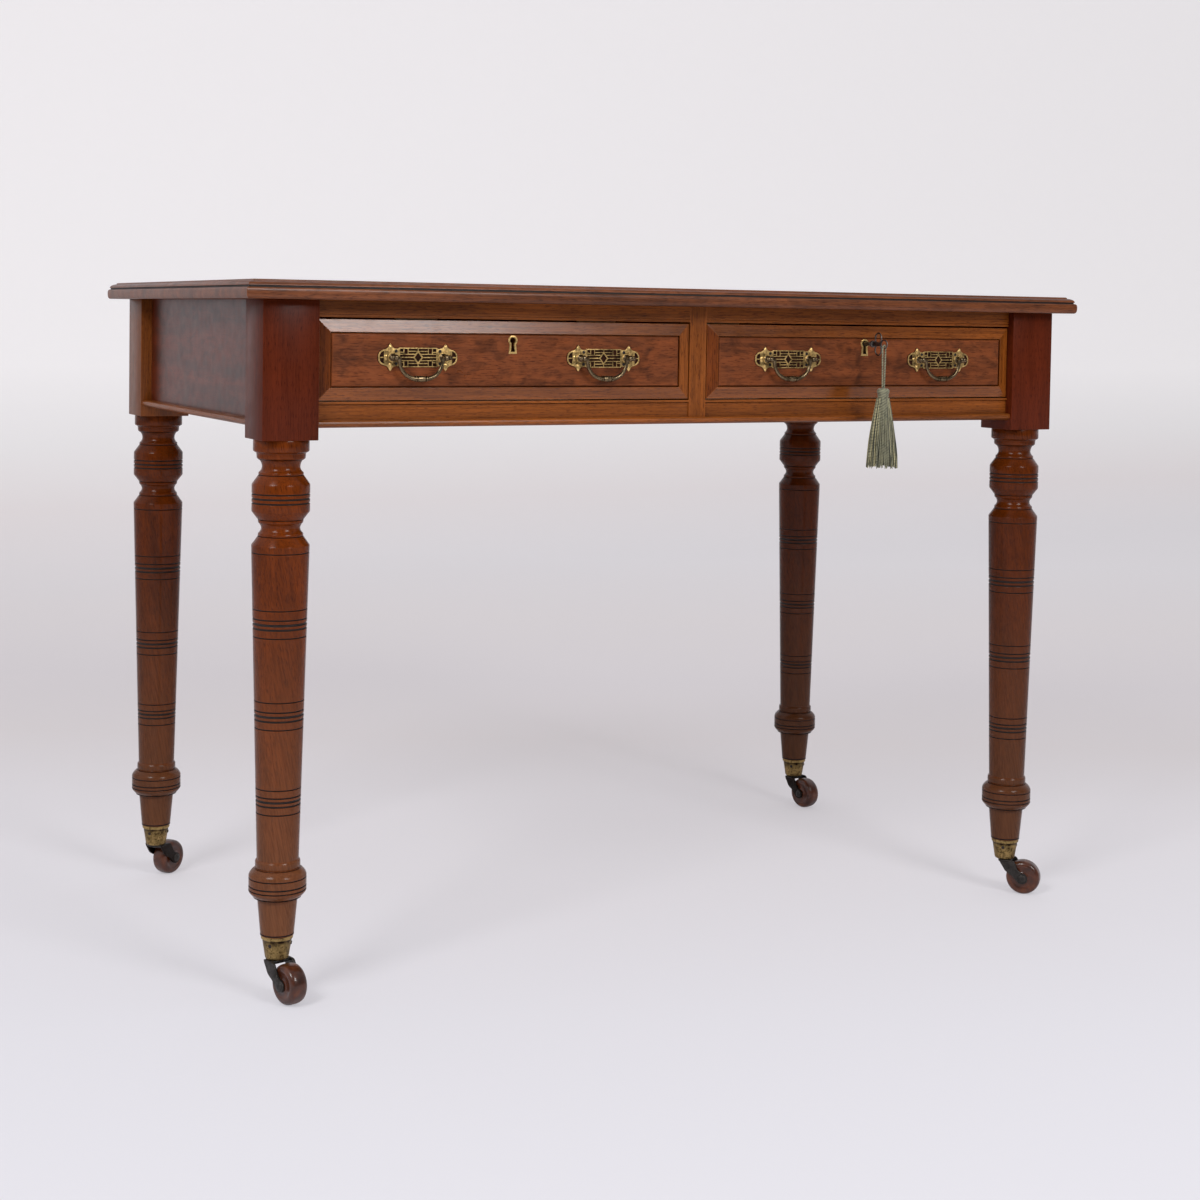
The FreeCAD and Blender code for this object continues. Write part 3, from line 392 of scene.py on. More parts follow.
def glazed_ceramic():
    # Salt-glazed stoneware: near-black brown under a glassy coat with one sharp highlight
    return blotched("glazed_brown_ceramic", 14,
                    [(0.3, "#2e160c"), (0.52, "#48210f"), (0.72, "#643418")],
                    {"Roughness": 0.35, "IOR": 1.54, "Specular IOR Level": 0.3,
                     "Coat Weight": 0.4, "Coat Roughness": 0.07})


def cast_metal(name, bright, tarnish, roughness, pits, metallic=1.0):
    """Old cast metal: rubbed bright on top, tarnished in the hollows, faintly pitted."""
    if name in bpy.data.materials:
        return bpy.data.materials[name]
    material, tree, shader = new_material(name)
    place = add(tree, "TexCoord").outputs["Object"]
    # Tarnish lies in blotches of 7 mm, and the pits of the sand mould are 2.2 mm across
    blotch = add(tree, "TexNoise", {
        "Vector": place, "Scale": 1 / (7 * MM), "Detail": 4.0, "Roughness": 0.6})
    pitting = add(tree, "TexNoise", {
        "Vector": place, "Scale": 1 / (2.2 * MM), "Detail": 2.0})
    # Pointiness runs from hollows to proud edges over this short span
    point = add(tree, "NewGeometry").outputs["Pointiness"]
    proud = add(tree, "MapRange", {"Value": point, "From Min": 0.44, "From Max": 0.53})
    worn = add(tree, "Math", {"operation": "MULTIPLY", 0: proud, 1: blotch})
    colour = add(tree, "ValToRGB", {"Fac": worn, "stops": [
        (0.18, tarnish), (0.33, scaled(bright, 0.55)), (0.50, bright),
        (0.72, scaled(bright, 1.2))]})
    colour = tinted(tree, colour, pitting, PITS, pits)
    rough = add(tree, "MapRange", {
        "Value": worn, "To Min": roughness + 0.14, "To Max": roughness - 0.08})
    bump = add(tree, "Bump", {
        "Strength": pits * 0.6, "Distance": 0.0003, "Height": pitting})
    set_up(shader, {"Base Color": colour, "Metallic": metallic, "Roughness": rough, "Normal": bump})
    return material


def aged_brass():
    # Cast brass, lacquer long gone: golden where hands rub it, brown-black in the pierced corners
    metal = bpy.context.scene.desk_metal
    return cast_metal("rubbed_cast_brass", metal.brass, metal.tarnish, 0.34, 0.45, 0.9)


def mottled_brass():
    # Cast brass by the floor, splashed and never polished: gold-brown with dull dark patches
    metal = bpy.context.scene.desk_metal
    return cast_metal("mottled_cast_brass", scaled(metal.brass, 0.5), scaled(metal.tarnish, 0.7),
                      0.4, 0.7, 0.9)


def dark_bronze():
    # Cast bronze, dulled by handling: grey-brown with soft highlights
    metal = bpy.context.scene.desk_metal
    return cast_metal("dulled_cast_bronze", metal.bronze, scaled(metal.tarnish, 0.9), 0.25, 0.25)


def horn_metal():
    # Cast bronze, blackened by grease: dark grey-brown with a dull sheen on its rounded edges
    metal = bpy.context.scene.desk_metal
    return cast_metal("blackened_cast_bronze", scaled(metal.steel, 0.28),
                      scaled(metal.tarnish, 0.4), 0.42, 0.4, 0.7)


def forged_steel():
    # Forged and filed steel: cool grey with a dull shine and darker hollows
    metal = bpy.context.scene.desk_metal
    return cast_metal("filed_key_steel", metal.steel, scaled(metal.steel, 0.3), 0.33, 0.15)


def silk_thread(name, shade, contrast):
    """Spun silk: fine twisted threads, with painted highlight and shade along their turn."""
    if name in bpy.data.materials:
        return bpy.data.materials[name]
    material, tree, shader = new_material(name)
    place = add(tree, "TexCoord").outputs["Object"]
    twist = add(tree, "Mapping", {"Vector": place, "Rotation": (0, 0.6, 0)})
    # The ply is 0.4 mm and is drawn at 1.3 mm to show
    ply = add(tree, "TexWave", {
        "Vector": twist, "Scale": 0.16 / (1.3 * MM), "Distortion": 1.5,
        "bands_direction": "Z"}).outputs["Fac"]
    blotch = add(tree, "TexNoise", {"Vector": place, "Scale": 1 / (5 * MM), "Detail": 2.0})
    mixed = add(tree, "Math", {"operation": "MULTIPLY_ADD", 0: ply, 1: 0.5, 2: blotch})
    # The twist is painted dark to bright, as shade and highlight along each ply
    colour = add(tree, "ValToRGB", {"Fac": mixed, "stops": [
        (0.35, scaled(shade, 1 - contrast)), (0.7, shade), (0.95, scaled(shade, 1.35))]})
    bump = add(tree, "Bump", {"Strength": 0.5, "Distance": 0.0003, "Height": ply})
    set_up(shader, {"Base Color": colour, "Roughness": 0.6, "Sheen Weight": 0.35,
                    "Sheen Roughness": 0.4, "Normal": bump})
    return material


def sage_silk():
    # Twisted silk, piece-dyed sage green: matt with a faint sheen on each thread
    return silk_thread("sage_silk_thread", bpy.context.scene.desk_tassel.sage, 0.65)


def olive_shade_silk():
    # The same silk in dark olive, laid deep among the sage threads as painted shade between them
    return silk_thread("dark_olive_silk_thread", bpy.context.scene.desk_tassel.olive, 0.4)


def straw_highlight_silk():
    # Spun silk left undyed: straw-coloured threads that lift the sage ones, partly as painted
    # highlight in the outer rings
    return silk_thread("straw_silk_thread", bpy.context.scene.desk_tassel.straw, 0.4)


def place_piece(name, data, body, materials, nodes):
    """Puts a finished mesh or curve into the scene, gives it its materials, ties it to its body and
    hides its CAD nodes.
    """
    piece = bpy.data.objects.new(name, data)
    bpy.context.scene.collection.objects.link(piece)
    for material in materials:
        data.materials.append(material)
    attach(piece, body)
    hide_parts(*nodes)
    return piece


# Points of a form nearer than this, in metres, are one
WELD = 0.000002


def finished_mesh(name, form, crease):
    """Mesh of a form, smooth but for edges sharper than the crease angle in degrees."""
    bmesh.ops.remove_doubles(form, verts=form.verts, dist=WELD)
    bmesh.ops.recalc_face_normals(form, faces=form.faces)
    for face in form.faces:
        face.smooth = True
    for edge in form.edges:
        if len(edge.link_faces) == 2:
            edge.smooth = edge.calc_face_angle(0) < math.radians(crease)
    mesh = bpy.data.meshes.new(name)
    form.to_mesh(mesh)
    form.free()
    return mesh


def place_form(name, form, body, materials, nodes, crease=32):
    """Places a form once its mesh is finished; edges sharper than the crease stay crisp."""
    place_piece(name, finished_mesh(name, form, crease), body, materials, nodes)


def at(x, y, z):
    return Matrix.Translation(Vector((x, y, z)) * MM)


def turned(degrees, axis):
    return Matrix.Rotation(math.radians(degrees), 4, axis)


def facing_front(x, y, z):
    """A place whose own Z comes straight out of the front."""
    return at(x, y, z) @ turned(90, "X")


def facing_side(x, y, z):
    """A place whose own Z points along the front."""
    return at(x, y, z) @ turned(90, "Y")


def mirrored(points):
    """The whole outline of a shape drawn as one quarter from the top middle outwards."""
    back = list(reversed(points))
    return (points + [(x, -y) for x, y in back] + [(-x, -y) for x, y in points]
            + [(-x, y) for x, y in back])


def rounded(points, steps=3):
    """A smooth closed line through points, in short steps."""
    line = []
    count = len(points)
    for i in range(count):
        before, start, end, after = (Vector(points[(i + k) % count]) for k in (-1, 0, 1, 2))
        for k in range(steps):
            share = k / steps
            line.append(tuple(0.5 * (2 * start + (end - before) * share
                                     + (2 * before - 5 * start + 4 * end - after) * share ** 2
                                     + (3 * start - before - 3 * end + after) * share ** 3)))
    return line


def skin(form, rings, tint=0, closed=True, bands=()):
    """Faces between rings of the same count and over both ends; bands take the next finish."""
    for band, (near, far) in enumerate(zip(rings, rings[1:])):
        for i in range(len(near)):
            j = (i + 1) % len(near)
            face = form.faces.new((near[i], near[j], far[j], far[i]))
            face.material_index = tint + 1 if band in bands else tint
    if closed:
        for end in (rings[0], rings[-1]):
            form.faces.new(end).material_index = tint


def lathe(form, profile, place, sides, tint=0, closed=True, bands=()):
    """Turns a profile of (height, radius) in millimetres round the place's Z."""
    rings = []
    for height, radius in profile:
        ring = []
        for i in range(sides):
            angle = 2 * math.pi * i / sides
            spot = Vector((radius * math.cos(angle), radius * math.sin(angle), height)) * MM
            ring.append(form.verts.new(place @ spot))
        rings.append(ring)
    skin(form, rings, tint, closed, bands)


def tube(form, points, radii, sides, tint=0):
    """A round bar along points in metres, with a radius at each of them."""
    rings = []
    side = None
    for i, point in enumerate(points):
        before = points[max(i - 1, 0)]
        after = points[min(i + 1, len(points) - 1)]
        along = (after - before).normalized()
        if side is None:
            side = along.orthogonal().normalized()
        side = (side - along * side.dot(along)).normalized()
        up = along.cross(side)
        ring = []
        for k in range(sides):
            angle = 2 * math.pi * k / sides
            spoke = side * math.cos(angle) + up * math.sin(angle)
            ring.append(form.verts.new(point + spoke * radii[i]))
        rings.append(ring)
    skin(form, rings, tint)


def cut_plate(form, place, outline, holes, thickness, soften, tint=0):
    """A flat plate with holes, its edges softened: outlines in millimetres, thickness along Z."""
    curve = bpy.data.curves.new("plate_line", "CURVE")
    curve.dimensions = "2D"
    curve.fill_mode = "BOTH"
    curve.extrude = (thickness / 2 - soften) * MM
    curve.bevel_depth = soften * MM
    curve.bevel_resolution = 2
    curve.offset = -soften * MM
    for points in (outline, *holes):
        spline = curve.splines.new("POLY")
        spline.points.add(len(points) - 1)
        for point, (x, y) in zip(spline.points, points):
            point.co = (x * MM, y * MM, 0, 1)
        spline.use_cyclic_u = True
    holder = bpy.data.objects.new("plate_line", curve)
    flat = bpy.data.meshes.new_from_object(holder)
    flat.transform(place @ at(0, 0, thickness / 2))
    first = len(form.faces)
    form.from_mesh(flat)
    form.faces.ensure_lookup_table()
    for face in form.faces[first:]:
        face.material_index = tint
    bpy.data.objects.remove(holder)
    bpy.data.curves.remove(curve)
    bpy.data.meshes.remove(flat)


def block(form, low, high, soften, tint=0):
    """A squared block with softened edges, from two corners in millimetres."""
    made = bmesh.ops.create_cube(form, size=1.0)
    size = [high[i] - low[i] for i in range(3)]
    middle = [(high[i] + low[i]) / 2 for i in range(3)]
    for vert in made["verts"]:
        vert.co = Vector([(middle[i] + vert.co[i] * size[i]) * MM for i in range(3)])
    edges = {edge for vert in made["verts"] for edge in vert.link_edges}
    faces = {face for vert in made["verts"] for face in vert.link_faces}
    for face in faces:
        face.material_index = tint
    softened = bmesh.ops.bevel(form, geom=list(edges), offset=soften * MM, segments=2,
                               affect="EDGES", profile=0.5)
    for face in softened["faces"]:
        face.material_index = tint


def dome(form, place, half_x, half_y, rise):
    """A low oval swelling on the local XY plane."""
    profile = [(0.0, 1.0), (0.38, 0.92), (0.7, 0.7), (0.92, 0.38), (1.0, 0.04)]
    lathe(form, profile, place @ Matrix.Diagonal((half_x, half_y, rise, 1)), 18)


def hoop(form, place, radius, thickness, flatten=1.0):
    """A round ring that lies in the local XY plane."""
    profile = []
    for i in range(13):
        angle = 2 * math.pi * i / 12
        height = thickness * flatten * math.sin(angle)
        profile.append((height, radius + thickness * math.cos(angle)))
    lathe(form, profile, place, 48, closed=False)


def screw_head(form, place, radius, tint):
    """A slotted screw head that lies proud by half a millimetre."""
    profile = [(-0.6, radius), (0.15, radius), (0.45, radius * 0.86), (0.5, radius * 0.3)]
    lathe(form, profile, place, 18, tint)
    outline = [(-radius * 0.82, 0.28), (radius * 0.82, 0.28), (radius * 0.5, radius * 0.68),
               (-radius * 0.5, radius * 0.68)]
    for turn in (0, 180):
        cut_plate(form, place @ turned(turn, "Z") @ at(0, 0, 0.35), outline, [], 0.5, 0.1, tint)


def keyhole_line(eye, neck, foot, drop):
    """Outline of a keyhole: a round eye over a slot that flares from the neck to the foot."""
    start = math.asin(neck / eye)
    right = []
    for i in range(13):
        angle = (math.pi - start) * i / 12
        right.append((eye * math.sin(angle), eye * math.cos(angle)))
    right.append((foot, -drop))
    return right + [(-x, y) for x, y in reversed(right[1:])]


def scribed(turns, lines, depth):
    """The profile with a small groove at each line, and the number of each groove's first band."""
    profile = []
    bands = []
    for (top, top_radius), (foot, foot_radius) in zip(turns, turns[1:]):
        profile.append((top, top_radius))
        for line, half in lines:
            if foot + half < line < top - half:
                share = (top - line) / (top - foot)
                radius = top_radius + (foot_radius - top_radius) * share
                bands += [len(profile), len(profile) + 1, len(profile) + 2]
                profile += [(line + half, radius), (line + half * 0.35, radius - depth),
                            (line - half * 0.35, radius - depth), (line - half, radius)]
    profile.append(turns[-1])
    return profile, bands


# Moulded edge of the top, from above: inset from the nose and depth below the surface
TOP_EDGE = [
    (10.6, 0.0), (9.9, 0.1), (9.3, 0.5), (9.0, 1.0), (8.9, 1.7), (7.6, 1.85), (5.9, 2.25),
    (4.4, 2.95), (3.2, 3.9), (2.4, 5.1), (2.1, 6.2), (3.2, 6.7), (3.1, 7.9), (1.5, 8.3), (0.8, 8.9),
    (0.3, 9.9), (0.02, 11.4), (0.0, 13.2), (0.05, 15.2), (0.25, 16.9), (0.75, 18.4), (1.5, 19.4),
    (2.5, 20.0),
]
# Bands of that edge drawn near black as old wax and painted shade in the quirk, counted from above
TOP_QUIRK = (10, 11, 12)

# Flat pieces of the case that keep their CAD shape: finish and grain direction by node
RED_GRAIN = {"side_apron_left": "y", "side_apron_right": "y", "back_apron": "x"}
GOLDEN_GRAIN = {
    "side_mouldings": "y", "front_moulding": "x", "top_rail": "x", "bottom_rail": "x",
    "muntin": "z",
}
INNER_GRAIN = {
    "centre_runner": "y", "side_runners": "y", "kickers": "y", "drawer_stops": "x",
    "glue_blocks": "x",
}


def finish_node(node, material):
    """Gives a CAD node its material in every slot that it has."""
    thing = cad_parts[node]
    if not thing.data.materials:
        thing.data.materials.append(material)
    for slot in thing.material_slots:
        slot.material = material


class DESK_OT_case(bpy.types.Operator):
    """Makes the moulded top, and finishes the aprons, rails and the wood inside the case."""
    bl_idname = "desk.case"
    bl_label = "Case"

    def execute(self, context):
        form = bmesh.new()
        rings = []
        for inset, depth in TOP_EDGE:
            x, y, z = TOP_X - inset, TOP_Y - inset, TOP_Z - depth
            rings.append([form.verts.new(Vector((i * x, j * y, z)) * MM)
                          for i, j in ((-1, -1), (1, -1), (1, 1), (-1, 1))])
        skin(form, rings, bands=TOP_QUIRK)
        place_form("moulded_top", form, "frame", [top_mahogany(), wax_and_painted_shade()],
                   ["table_top"], 40)
        for finish, grains in ((red_mahogany, RED_GRAIN), (golden_mahogany, GOLDEN_GRAIN),
                               (drawer_oak, INNER_GRAIN)):
            for node, grain in grains.items():
                finish_node(node, finish(grain))
        return {"FINISHED"}


class DESK_OT_drawers(bpy.types.Operator):
    """Finishes the drawer boxes, their raised panels and their locks."""
    bl_idname = "desk.drawers"
    bl_label = "Drawers"

    def execute(self, context):
        for side in HANDLES:
            for node, material in (
                    ("drawer_front_", golden_mahogany("x")), ("drawer_bevel_", polished_bevel()),
                    ("drawer_panel_", figured_mahogany()), ("drawer_sides_", drawer_oak("y")),
                    ("drawer_back_", drawer_oak("x")), ("drawer_bottom_", drawer_oak("x")),
                    ("lock_case_", forged_steel()), ("lock_bolt_", aged_brass())):
                finish_node(node + side, material)
        return {"FINISHED"}


# Back plate of a handle: a quarter of its outline, from the top middle to the end
PLATE_EDGE = [
    (0.0, 10.2), (21.4, 10.2), (21.9, 9.3), (24.6, 9.1), (27.2, 9.7), (29.0, 11.2), (30.2, 13.0),
    (31.2, 14.4), (32.4, 13.2), (33.2, 11.4), (34.6, 9.7), (36.6, 8.6), (38.9, 8.1), (41.0, 7.2),
    (42.9, 5.7), (44.1, 3.9), (44.7, 2.0), (44.8, 0.0),
]
# Its windows in one quarter
PLATE_WINDOWS = [
    [(16.7, 6.0), (20.4, 6.0), (20.4, 9.1), (16.7, 9.1)],
    [(12.0, 3.9), (15.6, 3.9), (15.6, 9.1), (12.0, 9.1)],
    [(0.6, 7.0), (10.9, 7.0), (10.9, 9.1), (0.6, 9.1)],
    [(5.3, 0.6), (20.4, 0.6), (20.4, 2.8), (3.7, 2.8)],
    [(2.7, 3.9), (10.9, 3.9), (10.9, 5.9), (1.2, 5.9)],
    [(16.7, 3.9), (20.4, 3.9), (20.4, 4.9), (16.7, 4.9)],
    [(38.7, 0.7), (43.3, 0.7), (42.7, 3.4), (41.3, 5.3), (38.7, 6.5)],
]
PLATE_LOZENGE = [(-3.7, 0.0), (0.0, -4.8), (3.7, 0.0), (0.0, 4.8)]
QUARTERS = ((1, 1), (1, -1), (-1, -1), (-1, 1))
PLATE_THICKNESS = 1.4
# What stands on the plate in each quarter or end: domes' place, half sizes and rise; screws' place
EAR_DOME = ((31.3, 9.6), (2.3, 4.2, 1.1))
END_DOME = (36.2, (2.2, 3.4, 1.0))
PLATE_SCREW = (24.8, 6.6)
# The dark layer behind the plate, painted shade in its windows and round its edge with some old
# grime: how much larger than its outline, and how thick
GRIME_AND_SHADE_SPREAD, GRIME_AND_SHADE_THICKNESS = 1.012, 0.3

# Handle post along its stud: how far in front of the middle of the top, and radius
POST_TURNS = [
    (239.5, 2.1), (240.0, 2.3), (270.2, 2.3), (270.2, 4.1), (270.9, 4.2), (271.4, 3.8),
    (271.8, 2.9), (272.6, 2.3), (274.2, 2.05), (275.4, 2.3), (276.6, 2.6), (278.0, 2.2),
]
POST_EYE = [
    (0.0, 1.6), (0.0, 2.6), (0.5, 3.15), (1.3, 3.3), (2.7, 3.3), (3.5, 3.15), (4.0, 2.6),
    (4.0, 1.6), (0.0, 1.6),
]
# The square nut behind the drawer front: half its width, and from where to where it lies
NUT_HALF, NUT_BACK, NUT_FRONT = 4, -239.5, -243.0

# Right half of a bail from its pivot to the middle of its grip: across, down and radius
BAIL_LINE = [
    (24.6, 1.0, 1.2), (24.6, 0.4, 2.3), (24.6, -1.2, 2.5), (24.5, -3.0, 2.2), (24.2, -5.5, 1.95),
    (23.5, -8.6, 1.95), (22.2, -11.8, 2.0), (20.2, -15.0, 2.05), (17.4, -17.9, 2.1),
    (14.0, -20.1, 2.2), (10.6, -21.5, 2.35), (8.0, -22.1, 2.5), (6.6, -22.3, 2.6),
    (6.3, -22.3, 3.3), (5.4, -22.3, 3.3), (5.1, -22.3, 2.6), (4.4, -22.3, 2.6), (4.1, -22.3, 3.2),
    (1.2, -22.3, 3.4),
]
BAIL_KNOB = [
    (-1.0, 1.5), (6.4, 1.5), (6.4, 2.2), (6.9, 2.7), (8.4, 2.75), (9.6, 2.3), (10.4, 1.5),
    (10.6, 0.4),
]
# Keyhole linings: eye, neck, foot and drop of the edge and of the hole, and thickness
LINING_EDGE, LINING_HOLE, LINING_THICKNESS = (5.5, 3.7, 4.9, 14.2), (3.5, 1.7, 2.3, 12.2), 3.5


class DESK_OT_handles(bpy.types.Operator):
    """Makes the pierced back plates, posts, bails and keyhole linings."""
    bl_idname = "desk.handles"
    bl_label = "Handles"

    def execute(self, context):
        for side, places in HANDLES.items():
            plates = bmesh.new()
            posts = bmesh.new()
            for x in places:
                self.back_plate(plates, x)
                for sign in (-1, 1):
                    self.post(posts, x + sign * POST_X)
            drawer = "drawer_" + side
            place_form("back_plates_" + side, plates, drawer,
                       [aged_brass(), horn_metal(), grime_and_painted_shade()], ["handle_plates_" + side])
            place_form("posts_" + side, posts, drawer, [dark_bronze()],
                       ["handle_posts_" + side])
            for which, x in zip("ab", places):
                bail = "bail_" + side + "_" + which
                place_form("swan_" + bail, self.bail(x), bail + "_body",
                           [dark_bronze()], [bail])
            lining = bmesh.new()
            # It is let 3 mm into the panel and stands half a millimetre proud
            place = facing_front(KEYHOLE_X[side], PANEL_Y + 3.0, KEY_Z)
            cut_plate(lining, place, keyhole_line(*LINING_EDGE), [keyhole_line(*LINING_HOLE)],
                      LINING_THICKNESS, 0.15)
            place_form("keyhole_lining_" + side, lining, drawer, [aged_brass()],
                       ["escutcheon_" + side])
        return {"FINISHED"}

    def back_plate(self, form, x):
        windows = [PLATE_LOZENGE]
        for window in PLATE_WINDOWS:
            for i, j in QUARTERS:
                windows.append([(i * a, j * b) for a, b in window])
        place = facing_front(x, PANEL_Y, HANDLE_Z)
        outline = mirrored(PLATE_EDGE[:-1])
        grime_and_shade_outline = [(a * GRIME_AND_SHADE_SPREAD, b * GRIME_AND_SHADE_SPREAD) for a, b in outline]
        cut_plate(form, place, outline, windows, PLATE_THICKNESS, 0.22)
        # A dark sheet under the plate, a little larger: painted shade seen through the windows and
        # round the edge
        cut_plate(form, place, grime_and_shade_outline, [], GRIME_AND_SHADE_THICKNESS, 0.05, 2)
        face = place @ at(0, 0, PLATE_THICKNESS)
        (ear_x, ear_y), ear_size = EAR_DOME
        for i, j in QUARTERS:
            dome(form, face @ at(i * ear_x, j * ear_y, 0), *ear_size)
            screw_head(form, face @ at(i * PLATE_SCREW[0], j * PLATE_SCREW[1], 0), 1.7, 1)
        end_x, end_size = END_DOME
        for i in (-1, 1):
            dome(form, face @ at(i * end_x, 0, 0), *end_size)
            hoop(form, face @ at(i * POST_X, 0, 0), 4.6, 0.6)

    def post(self, form, x):
        lathe(form, POST_TURNS, facing_front(x, 0, HANDLE_Z), 24)
        lathe(form, POST_EYE, facing_side(x - 2, PIVOT_Y, HANDLE_Z), 28, closed=False)
        block(form, (x - NUT_HALF, NUT_FRONT, HANDLE_Z - NUT_HALF),
              (x + NUT_HALF, NUT_BACK, HANDLE_Z + NUT_HALF), 0.4)

    def bail(self, x):
        form = bmesh.new()
        line = BAIL_LINE + [(-a, b, radius) for a, b, radius in reversed(BAIL_LINE)]
        points = [Vector((x + a, PIVOT_Y, HANDLE_Z + b)) * MM for a, b, _ in line]
        tube(form, points, [radius * MM for _, _, radius in line], 20)
        for sign, turn in ((-1, 180), (1, 0)):
            knob = facing_side(x + sign * BAIL_LINE[0][0], PIVOT_Y, HANDLE_Z) @ turned(turn, "X")
            lathe(form, BAIL_KNOB, knob, 20)
        return form


# Key along its shank from the hollow tip to the bow: how far in front, and radius
KEY_TURNS = [
    (258.0, 0.1), (258.0, 1.35), (245.7, 1.35), (245.7, 2.2), (246.2, 2.6), (280.6, 2.45),
    (281.2, 3.0), (282.0, 3.25), (282.8, 3.0), (283.4, 2.5), (284.0, 3.4), (284.6, 4.0),
    (285.6, 4.15), (286.6, 3.9), (287.2, 3.0), (287.8, 2.3), (290.5, 2.0), (293.5, 2.05),
    (295.5, 2.5), (298.5, 2.3), (302.0, 1.4),
]
# The bow's rings: place, how high, radius, wire and stretch; the outer one is slim for the cord
KEY_LOBES = [
    (BOW_Y, 6.8, 6.15, 1.0, 1.0), (BOW_Y, -6.8, 6.15, 1.0, 1.0), (TASSEL_Y, 0.0, 5.0, 0.8, 1.16),
]
# Two corners of the bit that turns in the lock
KEY_BIT = ((KEY_X - 1.1, -252.0, 682.0), (KEY_X + 1.1, -247.0, 690.0))


class DESK_OT_key(bpy.types.Operator):
    """Makes the key: three thin rings for a bow, a collared shank and a bit."""
    bl_idname = "desk.key"
    bl_label = "Key"

    def execute(self, context):
        form = bmesh.new()
        for y, rise, radius, wire, stretch in KEY_LOBES:
            place = facing_side(KEY_X, y, KEY_Z + rise) @ Matrix.Diagonal((1, stretch, 1, 1))
            hoop(form, place, radius, wire, 0.85)
        lathe(form, KEY_TURNS, facing_front(KEY_X, 0, KEY_Z), 32)
        block(form, *KEY_BIT, 0.25)
        place_form("ring_bow_key", form, "key_body", [forged_steel()], ["key"])
        return {"FINISHED"}


# Turned leg below its block: height of each turn and radius there, from the block down
LEG_TURNS = [
    (585.5, 28.6), (584.6, 29.0), (574.6, 29.0), (573.4, 28.6), (572.6, 27.4), (571.8, 26.0),
    (570.6, 25.3), (568.6, 25.3), (566.2, 25.0), (565.2, 24.0), (564.6, 22.6), (563.4, 21.6),
    (561.6, 20.6), (559.4, 19.9), (557.0, 19.7), (554.6, 20.3), (552.6, 21.6), (551.4, 23.0),
    (550.2, 23.3), (549.0, 23.0), (548.2, 23.6), (539.8, 29.6), (538.8, 30.0), (511.6, 30.0),
    (510.6, 29.6), (503.0, 23.8), (502.2, 23.2), (500.8, 23.4), (499.4, 23.0), (498.2, 21.8),
    (496.2, 20.6), (494.0, 20.0), (491.8, 20.4), (489.8, 21.6), (488.4, 23.0), (487.0, 23.4),
    (485.6, 23.0), (484.8, 23.8), (476.8, 29.5), (475.8, 30.0), (147.8, 21.8), (147.2, 22.7),
    (145.8, 23.4), (141.4, 23.5), (139.6, 22.9), (139.0, 22.6), (138.2, 24.6), (136.4, 26.8),
    (133.8, 28.9), (131.6, 29.9), (130.6, 30.0), (115.0, 30.0), (113.2, 29.2), (109.6, 26.0),
    (107.4, 23.9), (107.0, 21.4), (106.2, 20.9), (68.0, 17.5),
]
# Scribed lines: height and half width of each
LEG_LINES = [
    (564.9, 0.25), (548.6, 0.35), (529.4, 0.75), (524.6, 1.0), (520.0, 0.9), (502.6, 0.35),
    (485.2, 0.35), (468.5, 0.6), (410.0, 0.65), (400.3, 0.8), (395.2, 1.35), (390.4, 1.1),
    (381.5, 0.7), (314.8, 0.65), (304.8, 0.8), (300.0, 1.3), (295.2, 1.05), (286.5, 0.7),
    (223.3, 0.65), (215.2, 0.8), (210.8, 1.25), (206.2, 1.0), (197.5, 0.7), (138.6, 0.3),
    (129.0, 0.65), (120.6, 0.8), (116.4, 0.7), (108.4, 0.5), (69.4, 0.7),
]
# How deep each leg's colour is drawn, all but the front left darker as painted shade; and the one
# block drawn paler as painted sheen
LEG_PAINTED_SHADES = {"front_left": 1.0, "front_right": 0.65, "back_left": 0.74, "back_right": 0.54}
SHEEN_BLOCK, SHEEN_BLOCK_DEPTH = "back_left", 0.72


class DESK_OT_legs(bpy.types.Operator):
    """Turns the four legs with their blocks, beads and scribed lines."""
    bl_idname = "desk.legs"
    bl_label = "Legs"

    def execute(self, context):
        settings = context.scene.desk_turning
        profile, bands = scribed(LEG_TURNS, LEG_LINES, settings.groove_depth / MM)
        for corner, (sign_x, sign_y, _) in CORNERS.items():
            form = bmesh.new()
            x = sign_x * LEG_X
            y = sign_y * LEG_Y
            # The grooves' bands take the near-black wax, which also paints their shade
            lathe(form, profile, at(x, y, 0), settings.facets, bands=bands)
            block(form, (x - BLOCK_HALF, y - BLOCK_HALF, BLOCK_FOOT),
                  (x + BLOCK_HALF, y + BLOCK_HALF, BLOCK_HEAD), 0.7, 2)
            # The paler block is golden wood, a painted sheen on that post
            pale = corner == SHEEN_BLOCK
            block_wood = golden_mahogany("z", SHEEN_BLOCK_DEPTH) if pale else red_mahogany("z")
            place_form("leg_turned_" + corner, form, "frame",
                       [turned_mahogany(LEG_PAINTED_SHADES[corner]), wax_and_painted_shade(), block_wood],
                       ["leg_" + corner], 24)
        return {"FINISHED"}


# Castor cup from the hollow's rim, over the lip and down: height and radius
CUP_TURNS = [
    (68.0, 14.3), (68.0, 16.0), (67.7, 16.5), (66.9, 16.75), (65.0, 16.75), (64.2, 16.5),
    (63.8, 15.9), (63.2, 15.35), (60.0, 14.85), (44.6, 12.4), (43.6, 12.1), (43.0, 11.5),
    (43.0, 3.7), (46.0, 3.7), (46.0, 10.9), (68.0, 14.3),
]
# Its screws: turns round the cup in degrees, how far out and high they sit, and how they lean
CUP_SCREWS = (-138, -22, 98)
CUP_SCREW_X, CUP_SCREW_Z, CUP_SCREW_LEAN = 14.65, 58.4, 99

